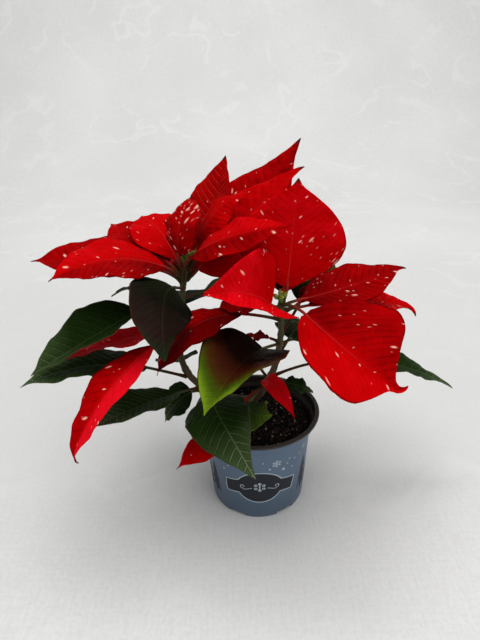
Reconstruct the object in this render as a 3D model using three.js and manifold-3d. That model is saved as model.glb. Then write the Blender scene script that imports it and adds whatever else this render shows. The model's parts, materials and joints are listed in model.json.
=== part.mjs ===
// A poinsettia with two blooms of speckled red bracts, in its plastic nursery pot.
// Millimetres, +Z up. The origin is the middle of the pot's underside, on the surface it stands on.
import * as THREE from "three";
import { mergeVertices } from "three/addons/utils/BufferGeometryUtils.js";
import Module from "manifold-3d";

const wasm = await Module();
wasm.setup();

// Driving dimensions
const GAP = 0.3; // air between two pieces that touch on the plant
const WELD = 1e-4; // vertices closer than this are one

const POT = {
  height: 84.5,
  rimRadius: 52.5,
  rimThick: 1.8,
  mouthRadius: 49,
  neckRadius: 45.5, // where the wall turns out into the collar
  neckDrop: 11, // collar height under the rim
  shoulder: 4, // height over which the wall turns out
  footRadius: 40.2,
  footRound: 1.5,
  wall: 1.3,
  floor: 4.5,
  padRadius: 14, // flat pad in the middle of the underside
  grooveIn: 15.5,
  grooveOut: 31,
  grooveDepth: 3,
  sides: 48,
};
const DRAIN = {
  holes: 6,
  radius: 3.2,
  ring: 23,
  sides: 10,
  holeTurn: 0.5, // where the first hole stands, as a share of their spacing
  notches: 6,
  notchWide: 15,
  notchTurn: 0.03,
  overrun: 4, // how far a notch's cutter passes the wall
};
const SOIL = { drop: 8.5, bump: 1.4, slump: 1, rings: 7, sectors: 30, seed: 11 };
const STEM = {
  hub: [-2, 7, 87], // the trunk's head, where the shoots part
  trunk: 3.6,
  foot: 3.2, // a shoot's radius at the hub
  tip: 1.9,
  sides: 8,
  step: 9,
  buried: 12,
  overlap: 2,
};
// A petiole's ring has as many points as a blade's, so one skin covers both.
const PETIOLE = { stem: 1.25, blade: 1.1, sides: 10, steps: 12 };
const BLADE = {
  thick: 0.8,
  edge: 0.62,
  keel: 1.1, // extra thickness of the midrib at the base
  least: 0.01, // the narrowest half width, as a share of the widest
  columns: [-1, -0.5, 0, 0.5, 1],
  steps: 120,
};
const RIPPLE = { height: 1.5, waves: 2.5, swell: 0.6 };
const HOOK = { from: 0.85, power: 1.5 }; // where a hooked tip begins, and how fast it bends
// The small flowers in the middle of a bloom: cups on short stalks that rise from one knot.
const CYATHIA = {
  knot: 1.9,
  stalk: 0.9,
  stalkSides: 5,
  cup: 1.9,
  tall: 5.2,
  sides: 7,
  sunk: 0.5, // how deep a cup sits on its stalk
  lean: 38,
  leans: [0.7, 1.1], // the spread of the lean, the stalk's length and the cup's size
  lengths: [0.75, 1.15],
  sizes: [0.8, 1.1],
};
// A cup's half outline: radius and height as shares of its largest.
const CUP = [[0, 0], [0.55, 0], [1, 0.3], [1, 0.65], [0.7, 0.9], [0, 1]];
const FLOWERS = [
  { name: "cyathia_a", shoot: "a", cups: 9, reach: 9, seed: 9 },
  { name: "cyathia_b", shoot: "b", cups: 5, reach: 4, seed: 8 },
];

// Half outlines: distance along the blade, then half width as a share of the widest.
const OUTLINES = {
  bract: [
    [0, 0.07], [0.08, 0.4], [0.22, 0.84], [0.4, 1], [0.58, 0.92], [0.74, 0.66], [0.86, 0.34], [0.93, 0.12],
    [1, 0.03],
  ],
  broad: [
    [0, 0.1], [0.05, 0.55], [0.14, 0.93], [0.26, 1], [0.42, 0.9], [0.58, 0.68], [0.74, 0.4], [0.88, 0.15],
    [1, 0.03],
  ],
  full: [
    [0, 0.12], [0.05, 0.5], [0.15, 0.82], [0.3, 0.97], [0.45, 1], [0.6, 0.95], [0.74, 0.76], [0.86, 0.43],
    [0.94, 0.13], [1, 0.03],
  ],
  tailed: [
    [0, 0.12], [0.07, 0.4], [0.18, 0.67], [0.32, 0.89], [0.46, 0.99], [0.58, 1], [0.68, 0.86], [0.77, 0.5],
    [0.84, 0.18], [0.91, 0.08], [1, 0.03],
  ],
  leaf: [
    [0, 0.08], [0.06, 0.45], [0.18, 0.88], [0.34, 1], [0.5, 0.93], [0.66, 0.74], [0.8, 0.47], [0.91, 0.19],
    [1, 0.03],
  ],
};
// The cross-sections along a blade, as distances along it.
const STATIONS = {
  close: [0, 0.05, 0.11, 0.18, 0.26, 0.34, 0.42, 0.5, 0.58, 0.65, 0.72, 0.79, 0.86, 0.93, 1],
  fine: [0, 0.05, 0.13, 0.23, 0.34, 0.45, 0.56, 0.67, 0.77, 0.86, 0.93, 1],
  plain: [0, 0.08, 0.2, 0.35, 0.5, 0.66, 0.8, 0.91, 1],
};

// The shoots, each from the trunk's head to its tip.
const SHOOTS = {
  a: [
    [-2, 7, 87], [-22, 4, 93], [-41, 1, 104], [-55, 0, 119], [-61, 3, 138], [-60, 9, 163], [-56, 15, 188],
    [-53, 18, 205],
  ],
  b: [[-2, 7, 87], [6, 4, 101], [14, 0, 121], [18, -5, 145], [19, -11, 166], [18, -16, 187]],
  c: [[-2, 7, 87], [5, 0, 101], [9, -6, 114]],
};

// Every leaf and bract. shoot: the shoot that bears it, and how far below that shoot's tip (down).
// heading: compass angle of the blade from +X towards +Y; rise: its slope at the blade's base.
// droop: how far the slope falls by the tip; sweep: how far the heading turns.
// roll: turn about the midrib, right side up; twist: more roll by the tip.
// fold: each half's slope up from the midrib; cup: how far that slope changes by the edge.
// hook and flick: how far the last stretch bends down and turns left.
// petiole: the leaf stalk's length; lift: its slope where it leaves the shoot.
const PLAIN = {
  form: "bract", petiole: 12, lift: 20, droop: 35, sweep: 0, roll: 0, twist: 0, fold: 8, cup: -12,
  hook: 0, flick: 0, stations: "fine",
};
const FOLIAGE = [
  {
    name: "bract_a1", shoot: "a", down: 8, heading: 203, rise: 32, length: 88, width: 57, droop: 56,
    sweep: 10, roll: 15, twist: -4, fold: 8, petiole: 15, lift: 52,
  },
  {
    name: "bract_a2", shoot: "a", down: 11, heading: 179, rise: 15, length: 98, width: 56, droop: 18,
    sweep: 2, roll: 12, twist: 2, fold: 16, cup: -8, petiole: 18, lift: 46,
  },
  {
    name: "bract_a3", shoot: "a", down: 7, heading: 150, rise: 36, length: 68, width: 52, droop: 32,
    sweep: -12, roll: 10, twist: -5, fold: 12, petiole: 14, lift: 40,
  },
  {
    name: "bract_a4", shoot: "a", down: 4, heading: 124, rise: 46, length: 65, width: 52, droop: 48,
    roll: 4, fold: 12, cup: -10, petiole: 11, lift: 48,
  },
  {
    name: "bract_a5", shoot: "a", down: 1, heading: 64, rise: 98, length: 49, width: 38, droop: 80,
    form: "full", sweep: 3, roll: 29, twist: -15, fold: 10, cup: -30, petiole: 13, lift: 120,
  },
  {
    name: "bract_a6", shoot: "a", down: 2, heading: 50, rise: 54, length: 78, width: 46, droop: -9,
    form: "full", sweep: -2, roll: 9, twist: 1, fold: 25, cup: -24, petiole: 16, lift: 53, hook: -8,
    flick: 21, stations: "close",
  },
  {
    name: "bract_a7", shoot: "a", down: 6, heading: 34, rise: 36, length: 125, width: 80, droop: -14,
    form: "broad", sweep: -11, roll: -20, twist: -12, fold: 5, cup: -11, petiole: 17, lift: 19, hook: -9,
    flick: -22,
  },
  {
    name: "bract_a8", shoot: "a", down: 9, heading: 10, rise: 48, length: 111, width: 67, droop: 12,
    form: "broad", sweep: 0, roll: -25, twist: -6, fold: 5, cup: -9, petiole: 11, lift: 36, hook: 15,
    flick: -18, stations: "close",
  },
  {
    name: "bract_a9", shoot: "a", down: 8, heading: 314, rise: 39, length: 85, width: 31, droop: 38,
    sweep: 48, roll: -31, twist: -17, fold: -10, cup: 4, petiole: 23, lift: 80,
  },
  {
    name: "bract_a10", shoot: "a", down: 13, heading: 75, rise: 14, length: 72, width: 46, droop: 24,
    petiole: 14,
  },
  {
    name: "bract_a11", shoot: "a", down: 16, heading: 108, rise: 10, length: 70, width: 44, droop: 30,
    petiole: 16,
  },
  {
    name: "bract_a12", shoot: "a", down: 0, heading: -1, rise: 84, length: 63, width: 44, droop: 75,
    form: "broad", sweep: -8, roll: -26, twist: -7, fold: -10, cup: -11, petiole: 18, lift: 32,
    stations: "plain",
  },
  {
    name: "bract_b1", shoot: "b", down: 1, heading: 230, rise: 43, length: 66, width: 67, droop: 42,
    form: "broad", sweep: -21, roll: 43, twist: 9, fold: 27, cup: 16, petiole: 10, lift: 10,
  },
  {
    name: "bract_b2", shoot: "b", down: 0, heading: 36, rise: 83, length: 76, width: 76, droop: 0, sweep: 8,
    roll: -58, twist: 18, fold: 7, cup: -15, petiole: 11, lift: 60,
  },
  {
    name: "bract_b3", shoot: "b", down: 2, heading: 13, rise: 6, length: 82, width: 46, droop: -15,
    sweep: -4, roll: -16, fold: 14, cup: -19, petiole: 14, lift: 17, hook: 25, flick: -33,
  },
  {
    name: "bract_b4", shoot: "b", down: 6, heading: 13, rise: 4, length: 93, width: 47, droop: 26,
    sweep: -4, roll: 8, twist: -15, fold: 10, cup: 5, petiole: 19, lift: 0, hook: 45, flick: -65,
  },
  {
    name: "bract_b5", shoot: "b", down: 0, heading: 315, rise: -26, length: 88, width: 87, droop: 10,
    form: "tailed", sweep: 25, roll: -16, twist: -9, fold: 28, cup: -16, petiole: 20, lift: 16, hook: -99,
    flick: 42, stations: "close",
  },
  {
    name: "bract_b6", shoot: "b", down: 4, heading: 78, rise: 34, length: 70, width: 48, droop: 34,
    lift: 30,
  },
  {
    name: "bract_b7", shoot: "b", down: 10, heading: 172, rise: 21, length: 31, width: 32, droop: 39,
    sweep: 27, roll: 6, twist: -3, fold: 6, petiole: 15, lift: 22,
  },
  {
    name: "bract_b8", shoot: "b", down: 10, heading: 35, rise: 23, length: 78, width: 30, droop: 38,
    sweep: 29, roll: -2, twist: 33, fold: 5, cup: -14, petiole: 15, lift: 7,
  },
  {
    name: "bract_b9", shoot: "b", down: 1, heading: 106, rise: 80, length: 22, width: 8, droop: 2,
    petiole: 8, lift: 78, stations: "plain",
  },
  {
    name: "bract_r1", shoot: "a", down: 53, heading: 243, rise: 0, length: 106, width: 34, droop: 67,
    sweep: -28, roll: -3, twist: 4, fold: 18, petiole: 32, lift: 18, hook: 60, flick: 8,
  },
  {
    name: "bract_r2", shoot: "b", down: 14, heading: 190, rise: 10, length: 84, width: 46, droop: 82,
    sweep: 14, fold: 5, cup: -14, petiole: 28,
  },
  {
    name: "bract_r3", shoot: "a", down: 45, heading: 218, rise: 3, length: 72, width: 39, droop: 15,
    sweep: -19, roll: 5, twist: -30, fold: 9, cup: -6, petiole: 21, lift: 3,
  },
  {
    name: "bract_r4", shoot: "c", down: 5, heading: 218, rise: -22, length: 76, width: 38, droop: 10,
    sweep: -4, twist: 3, fold: -4, cup: -19, petiole: 19, lift: -4, stations: "plain",
  },
  {
    name: "bract_r5", shoot: "c", down: 3, heading: 285, rise: 36, length: 54, width: 16, droop: 79,
    sweep: 16, roll: -23, fold: 26, cup: 0, petiole: 7, lift: 64, stations: "plain",
  },
  {
    name: "bract_r6", shoot: "b", down: 38, heading: 160, rise: 10, length: 22, width: 14, droop: 30,
    petiole: 6, stations: "plain",
  },
  {
    name: "leaf_1", form: "leaf", shoot: "a", down: 26, heading: 217, rise: -13, length: 87, width: 50,
    droop: 14, sweep: -17, roll: 7, twist: 5, fold: 32, cup: -10, petiole: 36, lift: 16,
  },
  {
    name: "leaf_2", form: "leaf", shoot: "a", down: 88, heading: 204, rise: 28, length: 92, width: 46,
    droop: 44, sweep: 2, roll: 3, twist: -6, fold: 12, cup: -13, petiole: 34, lift: 30,
  },
  {
    name: "leaf_3", form: "leaf", shoot: "a", down: 102, heading: 225, rise: 13, length: 76, width: 39,
    droop: 12, roll: -8, twist: 12, fold: 18, cup: -11, petiole: 22, lift: 16,
  },
  {
    name: "leaf_4", form: "leaf", shoot: "a", down: 108, heading: 193, rise: -16, length: 36, width: 40,
    droop: 58, sweep: 5, roll: 15, twist: -29, fold: 13, cup: -14, petiole: 10, lift: 36, stations: "plain",
  },
  {
    name: "leaf_5", form: "leaf", shoot: "a", down: 16, heading: 260, rise: 26, length: 75, width: 50,
    droop: 108, sweep: 19, roll: 36, fold: -3, cup: -19, petiole: 22,
  },
  {
    name: "leaf_6", form: "leaf", shoot: "a", down: 23, heading: 163, rise: 14, length: 43, width: 19,
    droop: 54, sweep: 7, roll: 8, twist: -17, fold: 6, cup: 8, petiole: 20, lift: 6,
  },
  {
    name: "leaf_7", form: "leaf", shoot: "b", down: 38, heading: 241, rise: 18, length: 74, width: 63,
    droop: 67, sweep: -18, roll: 13, twist: -31, fold: 22, cup: 3, petiole: 27, lift: 21, hook: -12,
    flick: 6,
  },
  {
    name: "leaf_8", form: "leaf", shoot: "a", down: 118, heading: 265, rise: 41, length: 98, width: 51,
    droop: 102, sweep: 56, roll: -16, twist: 15, fold: -9, cup: -20, petiole: 22, hook: -18,
  },
  {
    name: "leaf_9", form: "leaf", shoot: "b", down: 74, heading: 9, rise: -6, length: 111, width: 39,
    droop: 30, sweep: -6, twist: -3, fold: 13, cup: -9, petiole: 60,
  },
  {
    name: "leaf_10", form: "leaf", shoot: "b", down: 40, heading: 18, rise: 0, length: 62, width: 34,
    droop: 30, petiole: 8,
  },
  {
    name: "leaf_11", form: "leaf", shoot: "b", down: 82, heading: 345, rise: 5, length: 26, width: 22,
    droop: 40, petiole: 10, stations: "plain",
  },
  {
    name: "leaf_12", form: "leaf", shoot: "c", down: 16, heading: 250, rise: 3, length: 41, width: 30,
    droop: -23, sweep: 90, roll: -20, twist: -25, fold: -6, petiole: 23, lift: 33, stations: "plain",
  },
  {
    name: "leaf_13", form: "leaf", shoot: "a", down: 24, heading: 28, rise: 8, length: 46, width: 33,
    droop: -36, sweep: 18, roll: 44, twist: 6, fold: 11, petiole: 17, lift: 9,
  },
  {
    name: "leaf_14", form: "leaf", shoot: "b", down: 30, heading: 56, rise: 30, length: 66, width: 34,
    droop: 30, roll: -10, cup: -14, lift: 22, petiole: 33,
  },
  {
    name: "leaf_15", form: "leaf", shoot: "a", down: 84, heading: 112, rise: -10, length: 36, width: 38,
    droop: 38, fold: 11, cup: -4, petiole: 12, lift: 4, stations: "plain",
  },
  {
    name: "leaf_16", form: "leaf", shoot: "a", down: 46, heading: 92, rise: 8, length: 76, width: 44,
    droop: 50, petiole: 24,
  },
  {
    name: "leaf_17", form: "leaf", shoot: "b", down: 58, heading: 62, rise: 10, length: 76, width: 44,
    droop: 55, petiole: 26,
  },
  {
    name: "leaf_18", form: "leaf", shoot: "b", down: 80, heading: 118, rise: 5, length: 66, width: 40,
    droop: 55, petiole: 22,
  },
];

const COLOURS = {
  pot: "#65778a",
  soil: "#1d1612",
  stem: "#4b4a2c",
  bract: "#c00012",
  leaf: "#22392a",
  cyathia: "#8a9a3a",
};

const rad = THREE.MathUtils.degToRad;
const lerp = THREE.MathUtils.lerp;

// Repeatable random numbers from 0 to 1, by a Lehmer generator.
function makeRandom(seed) {
  const factor = 16807;
  const modulus = 2147483647;
  let state = seed;
  return () => {
    state = (state * factor) % modulus;
    return state / modulus;
  };
}

function material(colour, roughness) {
  return new THREE.MeshStandardMaterial({ color: colour, roughness, metalness: 0 });
}

function toSolid(geometry) {
  const bare = geometry.index ? geometry.toNonIndexed() : geometry.clone();
  bare.deleteAttribute("normal");
  bare.deleteAttribute("uv");
  const merged = mergeVertices(bare, WELD);
  return new wasm.Manifold(
    new wasm.Mesh({
      numProp: 3,
      vertProperties: merged.attributes.position.array,
      triVerts: new Uint32Array(merged.index.array),
    }),
  );
}

function toGeometry(solid) {
  const mesh = solid.getMesh();
  const geometry = new THREE.BufferGeometry();
  geometry.setAttribute("position", new THREE.BufferAttribute(new Float32Array(mesh.vertProperties), 3));
  geometry.setIndex(new THREE.BufferAttribute(new Uint32Array(mesh.triVerts), 1));
  geometry.computeVertexNormals();
  return geometry;
}

// A skin over rings of points, closed with a flat fan at each end. Every ring has as many points.
function loft(rings) {
  const count = rings[0].length;
  const points = rings.flat();
  const faces = [];
  for (let i = 0; i < rings.length - 1; i++)
    for (let j = 0; j < count; j++) {
      const a = i * count + j;
      const b = i * count + ((j + 1) % count);
      faces.push(a, b, a + count, b, b + count, a + count);
    }
  const last = (rings.length - 1) * count;
  for (let j = 1; j < count - 1; j++) {
    faces.push(0, j + 1, j);
    faces.push(last, last + j, last + j + 1);
  }
  const geometry = new THREE.BufferGeometry();
  const flat = new Float32Array(points.flatMap((p) => p.toArray()));
  geometry.setAttribute("position", new THREE.BufferAttribute(flat, 3));
  geometry.setIndex(faces);
  return geometry;
}

// The height at s of a smooth curve through the points, by cubic Hermite spans.
function smooth(points, s) {
  const last = points.length - 1;
  const found = points.findIndex((p) => p[0] >= s);
  const i = Math.max(1, found < 0 ? last : found);
  const p0 = points[Math.max(i - 2, 0)];
  const p1 = points[i - 1];
  const p2 = points[i];
  const p3 = points[Math.min(i + 1, last)];
  const span = p2[0] - p1[0];
  const t = (s - p1[0]) / span;
  const m1 = i > 1 ? ((p2[1] - p0[1]) / (p2[0] - p0[0])) * span : p2[1] - p1[1];
  const m2 = i < last ? ((p3[1] - p1[1]) / (p3[0] - p1[0])) * span : p2[1] - p1[1];
  const t2 = t * t;
  const t3 = t2 * t;
  return (2 * t3 - 3 * t2 + 1) * p1[1] + (t3 - 2 * t2 + t) * m1 + (3 * t2 - 2 * t3) * p2[1] + (t3 - t2) * m2;
}

// Pot

function lathe(profile, sides) {
  const points = profile.map(([r, z]) => new THREE.Vector2(r, z));
  return new THREE.LatheGeometry(points, sides).rotateX(Math.PI / 2);
}

function potGeometry() {
  const rimUnder = POT.height - POT.rimThick;
  const neck = POT.height - POT.neckDrop;
  const profile = [
    [0, 0],
    [POT.padRadius, 0],
    [POT.grooveIn, POT.grooveDepth],
    [POT.grooveOut, POT.grooveDepth],
    [POT.grooveOut + POT.grooveDepth, 0],
    [POT.footRadius - POT.footRound, 0],
    [POT.footRadius - POT.footRound / 3, POT.footRound / 3],
    [POT.footRadius, POT.footRound],
    [POT.neckRadius, neck],
    [POT.mouthRadius + POT.wall, neck + POT.shoulder],
    [POT.mouthRadius + POT.wall, rimUnder],
    [POT.rimRadius, rimUnder],
    [POT.rimRadius, POT.height],
    [POT.mouthRadius, POT.height],
    [POT.mouthRadius, neck + POT.shoulder],
    [POT.neckRadius - POT.wall, neck - POT.wall],
    [POT.footRadius - POT.wall, POT.floor],
    [0, POT.floor],
  ];
  let pot = toSolid(lathe(profile, POT.sides));
  for (let i = 0; i < DRAIN.holes; i++) {
    const hole = new THREE.CylinderGeometry(DRAIN.radius, DRAIN.radius, 3 * POT.floor, DRAIN.sides);
    hole.rotateX(Math.PI / 2);
    hole.translate(DRAIN.ring, 0, POT.floor / 2);
    hole.rotateZ(((i + DRAIN.holeTurn) * 2 * Math.PI) / DRAIN.holes);
    pot = pot.subtract(toSolid(hole));
  }
  const reach = POT.footRadius - POT.grooveOut + DRAIN.overrun;
  for (let i = 0; i < DRAIN.notches; i++) {
    const notch = new THREE.BoxGeometry(reach, DRAIN.notchWide, 2 * POT.grooveDepth);
    notch.translate(POT.grooveOut + reach / 2, 0, 0);
    notch.rotateZ(((i + DRAIN.notchTurn) * 2 * Math.PI) / DRAIN.notches);
    pot = pot.subtract(toSolid(notch));
  }
  return toGeometry(pot);
}

// Soil: it fills the pot, with a crumbly top.

function soilGeometry(stem) {
  const random = makeRandom(SOIL.seed);
  const top = POT.height - SOIL.drop;
  const neck = POT.height - POT.neckDrop;
  const share = (top - POT.floor) / (neck - POT.floor);
  const low = POT.footRadius - POT.wall - GAP;
  const high = lerp(low, POT.neckRadius - POT.wall - GAP, Math.min(share, 1));
  const ring = (radius, z, bump) =>
    Array.from({ length: SOIL.sectors }, (_, j) => {
      const a = (j * 2 * Math.PI) / SOIL.sectors;
      return new THREE.Vector3(radius * Math.cos(a), radius * Math.sin(a), z + bump * (random() - 0.5));
    });
  const rings = [ring(low, POT.floor + GAP, 0), ring(high, top - SOIL.slump, 0)];
  for (let k = 1; k < SOIL.rings; k++) rings.push(ring(high * (1 - k / SOIL.rings), top, SOIL.bump));
  const soil = toSolid(loft(rings));
  return toGeometry(soil.subtract(stem));
}

// Shoots

const curves = Object.fromEntries(
  Object.entries(SHOOTS).map(([key, points]) => [
    key,
    new THREE.CatmullRomCurve3(points.map((p) => new THREE.Vector3(...p)), false, "catmullrom"),
  ]),
);

function shootRadius(u) {
  return lerp(STEM.foot, STEM.tip, u);
}

function tube(pointAt, tangentAt, radiusAt, steps) {
  const rings = [];
  const side = new THREE.Vector3();
  const up = new THREE.Vector3();
  for (let i = 0; i <= steps; i++) {
    const u = i / steps;
    const tangent = tangentAt(u);
    side.crossVectors(tangent, new THREE.Vector3(0, 1, 0)).normalize();
    up.crossVectors(tangent, side);
    rings.push(
      Array.from({ length: STEM.sides }, (_, j) => {
        const a = (j * 2 * Math.PI) / STEM.sides;
        return pointAt(u)
          .addScaledVector(side, radiusAt(u) * Math.cos(a))
          .addScaledVector(up, radiusAt(u) * Math.sin(a));
      }),
    );
  }
  return loft(rings);
}

// The trunk and its shoots as one solid, thicker by extra all round.
function stemSolid(extra = 0) {
  const hub = new THREE.Vector3(...STEM.hub);
  const foot = new THREE.Vector3(hub.x, hub.y, POT.height - SOIL.drop - STEM.buried);
  const head = new THREE.Vector3(hub.x, hub.y, hub.z + STEM.overlap);
  const trunk = new THREE.LineCurve3(foot, head);
  const upwards = new THREE.Vector3(0, 0, 1);
  let solid = toSolid(tube((u) => trunk.getPoint(u), () => upwards, () => STEM.trunk + extra, 1));
  for (const curve of Object.values(curves)) {
    const steps = Math.ceil(curve.getLength() / STEM.step);
    const radiusAt = (u) => shootRadius(u) + extra;
    const shoot = tube((u) => curve.getPointAt(u), (u) => curve.getTangentAt(u), radiusAt, steps);
    solid = solid.add(toSolid(shoot));
  }
  return solid;
}

// Leaves and bracts

function direction(heading, rise) {
  const h = rad(heading);
  const r = rad(rise);
  return new THREE.Vector3(Math.cos(h) * Math.cos(r), Math.sin(h) * Math.cos(r), Math.sin(r));
}

// Where the petiole leaves the shoot, just clear of its bark.
function seat(leaf) {
  const curve = curves[leaf.shoot];
  const u = 1 - leaf.down / curve.getLength();
  const along = curve.getTangentAt(u);
  const out = direction(leaf.heading, leaf.lift);
  const tilt = out.dot(along);
  const across = out.clone().addScaledVector(along, -tilt).normalize();
  const clear = shootRadius(u) + GAP + PETIOLE.stem * Math.abs(tilt);
  return curve.getPointAt(u).addScaledVector(across, clear);
}

// The frame at a point of the midrib: along it, to its right side, and up from its upper face.
function frameAt(point, heading, rise, roll) {
  const along = direction(heading, rise);
  const side = new THREE.Vector3(Math.sin(rad(heading)), -Math.cos(rad(heading)), 0);
  const up = new THREE.Vector3().crossVectors(side, along);
  const c = Math.cos(rad(roll));
  const s = Math.sin(rad(roll));
  return {
    point,
    along,
    side: side.clone().multiplyScalar(c).addScaledVector(up, s),
    up: up.clone().multiplyScalar(c).addScaledVector(side, -s),
  };
}

// How far into its last, hooked stretch a blade is at s.
function tipShare(s) {
  return Math.max(0, (s - HOOK.from) / (1 - HOOK.from)) ** HOOK.power;
}

function slopeAt(leaf, s) {
  return leaf.rise - leaf.droop * s - leaf.hook * tipShare(s);
}

function headingAt(leaf, s) {
  return leaf.heading + leaf.sweep * s + leaf.flick * tipShare(s);
}

// The petiole's frames and then the blade's, found by walking along the midrib.
function walk(leaf, stations) {
  const point = seat(leaf);
  const petiole = [frameAt(point.clone(), leaf.heading, leaf.lift, leaf.roll)];
  for (let i = 0; i < PETIOLE.steps; i++) {
    const slope = lerp(leaf.lift, leaf.rise, (i + 0.5) / PETIOLE.steps);
    point.addScaledVector(direction(leaf.heading, slope), leaf.petiole / PETIOLE.steps);
    if (i + 1 === PETIOLE.steps / 2)
      petiole.push(frameAt(point.clone(), leaf.heading, lerp(leaf.lift, leaf.rise, 0.5), leaf.roll));
  }
  const blade = [];
  for (let i = 0; i <= BLADE.steps; i++) {
    const s = i / BLADE.steps;
    const frame = frameAt(point.clone(), headingAt(leaf, s), slopeAt(leaf, s), leaf.roll + leaf.twist * s);
    if (stations.some((x) => Math.round(x * BLADE.steps) === i)) blade.push({ s, ...frame });
    const middle = s + 0.5 / BLADE.steps;
    const ahead = direction(headingAt(leaf, middle), slopeAt(leaf, middle));
    point.addScaledVector(ahead, leaf.length / BLADE.steps);
  }
  return { petiole, blade };
}

function petioleRing(frame, radius) {
  return Array.from({ length: PETIOLE.sides }, (_, j) => {
    const a = Math.PI - ((j + 0.5) * 2 * Math.PI) / PETIOLE.sides;
    return frame.point
      .clone()
      .addScaledVector(frame.side, radius * Math.cos(a))
      .addScaledVector(frame.up, radius * Math.sin(a));
  });
}

// One cross-section of a blade: its upper face from left to right, then its underside back again.
// Each half is an arc that leaves the midrib at the fold and has turned by the cup at the edge.
function bladeRing(leaf, frame) {
  const half = (leaf.width / 2) * Math.max(smooth(OUTLINES[leaf.form], frame.s), BLADE.least);
  const fold = rad(leaf.fold);
  const cup = rad(leaf.cup);
  const swell = RIPPLE.height * Math.sin(Math.PI * frame.s) ** RIPPLE.swell;
  const rows = BLADE.columns.map((u) => {
    const t = Math.abs(u);
    const side = Math.sign(u);
    const slope = fold + cup * t;
    const out = cup ? (Math.sin(slope) - Math.sin(fold)) / cup : t * Math.cos(fold);
    const high = cup ? (Math.cos(fold) - Math.cos(slope)) / cup : t * Math.sin(fold);
    const ripple = swell * t * t * Math.sin(2 * Math.PI * RIPPLE.waves * frame.s + side);
    const thick = lerp(BLADE.thick, BLADE.edge, t) + (u ? 0 : BLADE.keel * (1 - frame.s) ** 2);
    const x = half * out * side;
    const y = half * high + ripple;
    return { x, y, nx: -Math.sin(slope) * side * thick, ny: Math.cos(slope) * thick };
  });
  const at = (x, y) => frame.point.clone().addScaledVector(frame.side, x).addScaledVector(frame.up, y);
  const top = rows.map((r) => at(r.x, r.y));
  const under = rows.map((r) => at(r.x - r.nx, r.y - r.ny)).reverse();
  return [...top, ...under];
}

function leafGeometry(entry) {
  const leaf = { ...PLAIN, ...entry };
  const { petiole, blade } = walk(leaf, STATIONS[leaf.stations]);
  return loft([
    petioleRing(petiole[0], PETIOLE.stem),
    petioleRing(petiole[1], PETIOLE.blade),
    ...blade.map((frame) => bladeRing(leaf, frame)),
  ]);
}

// Flowers

function cupGeometry(size) {
  const profile = CUP.map(([r, z]) => [r * CYATHIA.cup * size, z * CYATHIA.tall * size]);
  return lathe(profile, CYATHIA.sides);
}

// A knot at the shoot's tip, one cup straight above it and the others leaning out round it.
function cyathiaGeometry({ shoot, cups, reach, seed }) {
  const random = makeRandom(seed);
  const between = ([low, high]) => lerp(low, high, random());
  const along = curves[shoot].getTangentAt(1);
  const knot = curves[shoot].getPointAt(1).addScaledVector(along, GAP + CYATHIA.knot);
  const bud = new THREE.IcosahedronGeometry(CYATHIA.knot, 1);
  let solid = toSolid(bud.translate(...knot.toArray()));
  for (let i = 0; i < cups; i++) {
    const turn = (i / (cups - 1)) * 2 * Math.PI;
    const lean = i ? rad(CYATHIA.lean * between(CYATHIA.leans)) : 0;
    const away = new THREE.Vector3(Math.cos(turn), Math.sin(turn), 0);
    const out = along.clone().multiplyScalar(Math.cos(lean)).addScaledVector(away, Math.sin(lean));
    out.normalize();
    const long = reach * between(CYATHIA.lengths);
    const turned = new THREE.Quaternion().setFromUnitVectors(new THREE.Vector3(0, 0, 1), out);
    const stalk = new THREE.CylinderGeometry(CYATHIA.stalk, CYATHIA.stalk, long, CYATHIA.stalkSides);
    stalk.rotateX(Math.PI / 2).translate(0, 0, long / 2);
    const top = cupGeometry(between(CYATHIA.sizes)).translate(0, 0, long - CYATHIA.sunk);
    for (const shape of [stalk, top])
      solid = solid.add(toSolid(shape.applyQuaternion(turned).translate(...knot.toArray())));
  }
  return toGeometry(solid);
}

// The plant

const poinsettia = new THREE.Group();

function piece(name, geometry, finish) {
  const mesh = new THREE.Mesh(geometry, finish);
  mesh.name = name;
  poinsettia.add(mesh);
}

piece("pot", potGeometry(), material(COLOURS.pot, 0.45));
piece("soil", soilGeometry(stemSolid(GAP)), material(COLOURS.soil, 0.95));
piece("stem", toGeometry(stemSolid()), material(COLOURS.stem, 0.7));
for (const flower of FLOWERS) piece(flower.name, cyathiaGeometry(flower), material(COLOURS.cyathia, 0.6));
for (const leaf of FOLIAGE)
  piece(leaf.name, leafGeometry(leaf), material(COLOURS[leaf.name.split("_")[0]], 0.5));

export default poinsettia;
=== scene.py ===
"""A potted poinsettia: two blooms of speckled red bracts over dark green leaves, in a plastic pot.

Sizes are in metres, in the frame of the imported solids: +Z up, the origin under the middle of the pot.
"""
import json
import math
from dataclasses import dataclass

import bmesh
import bpy
from mathutils import Matrix, Vector

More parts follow.
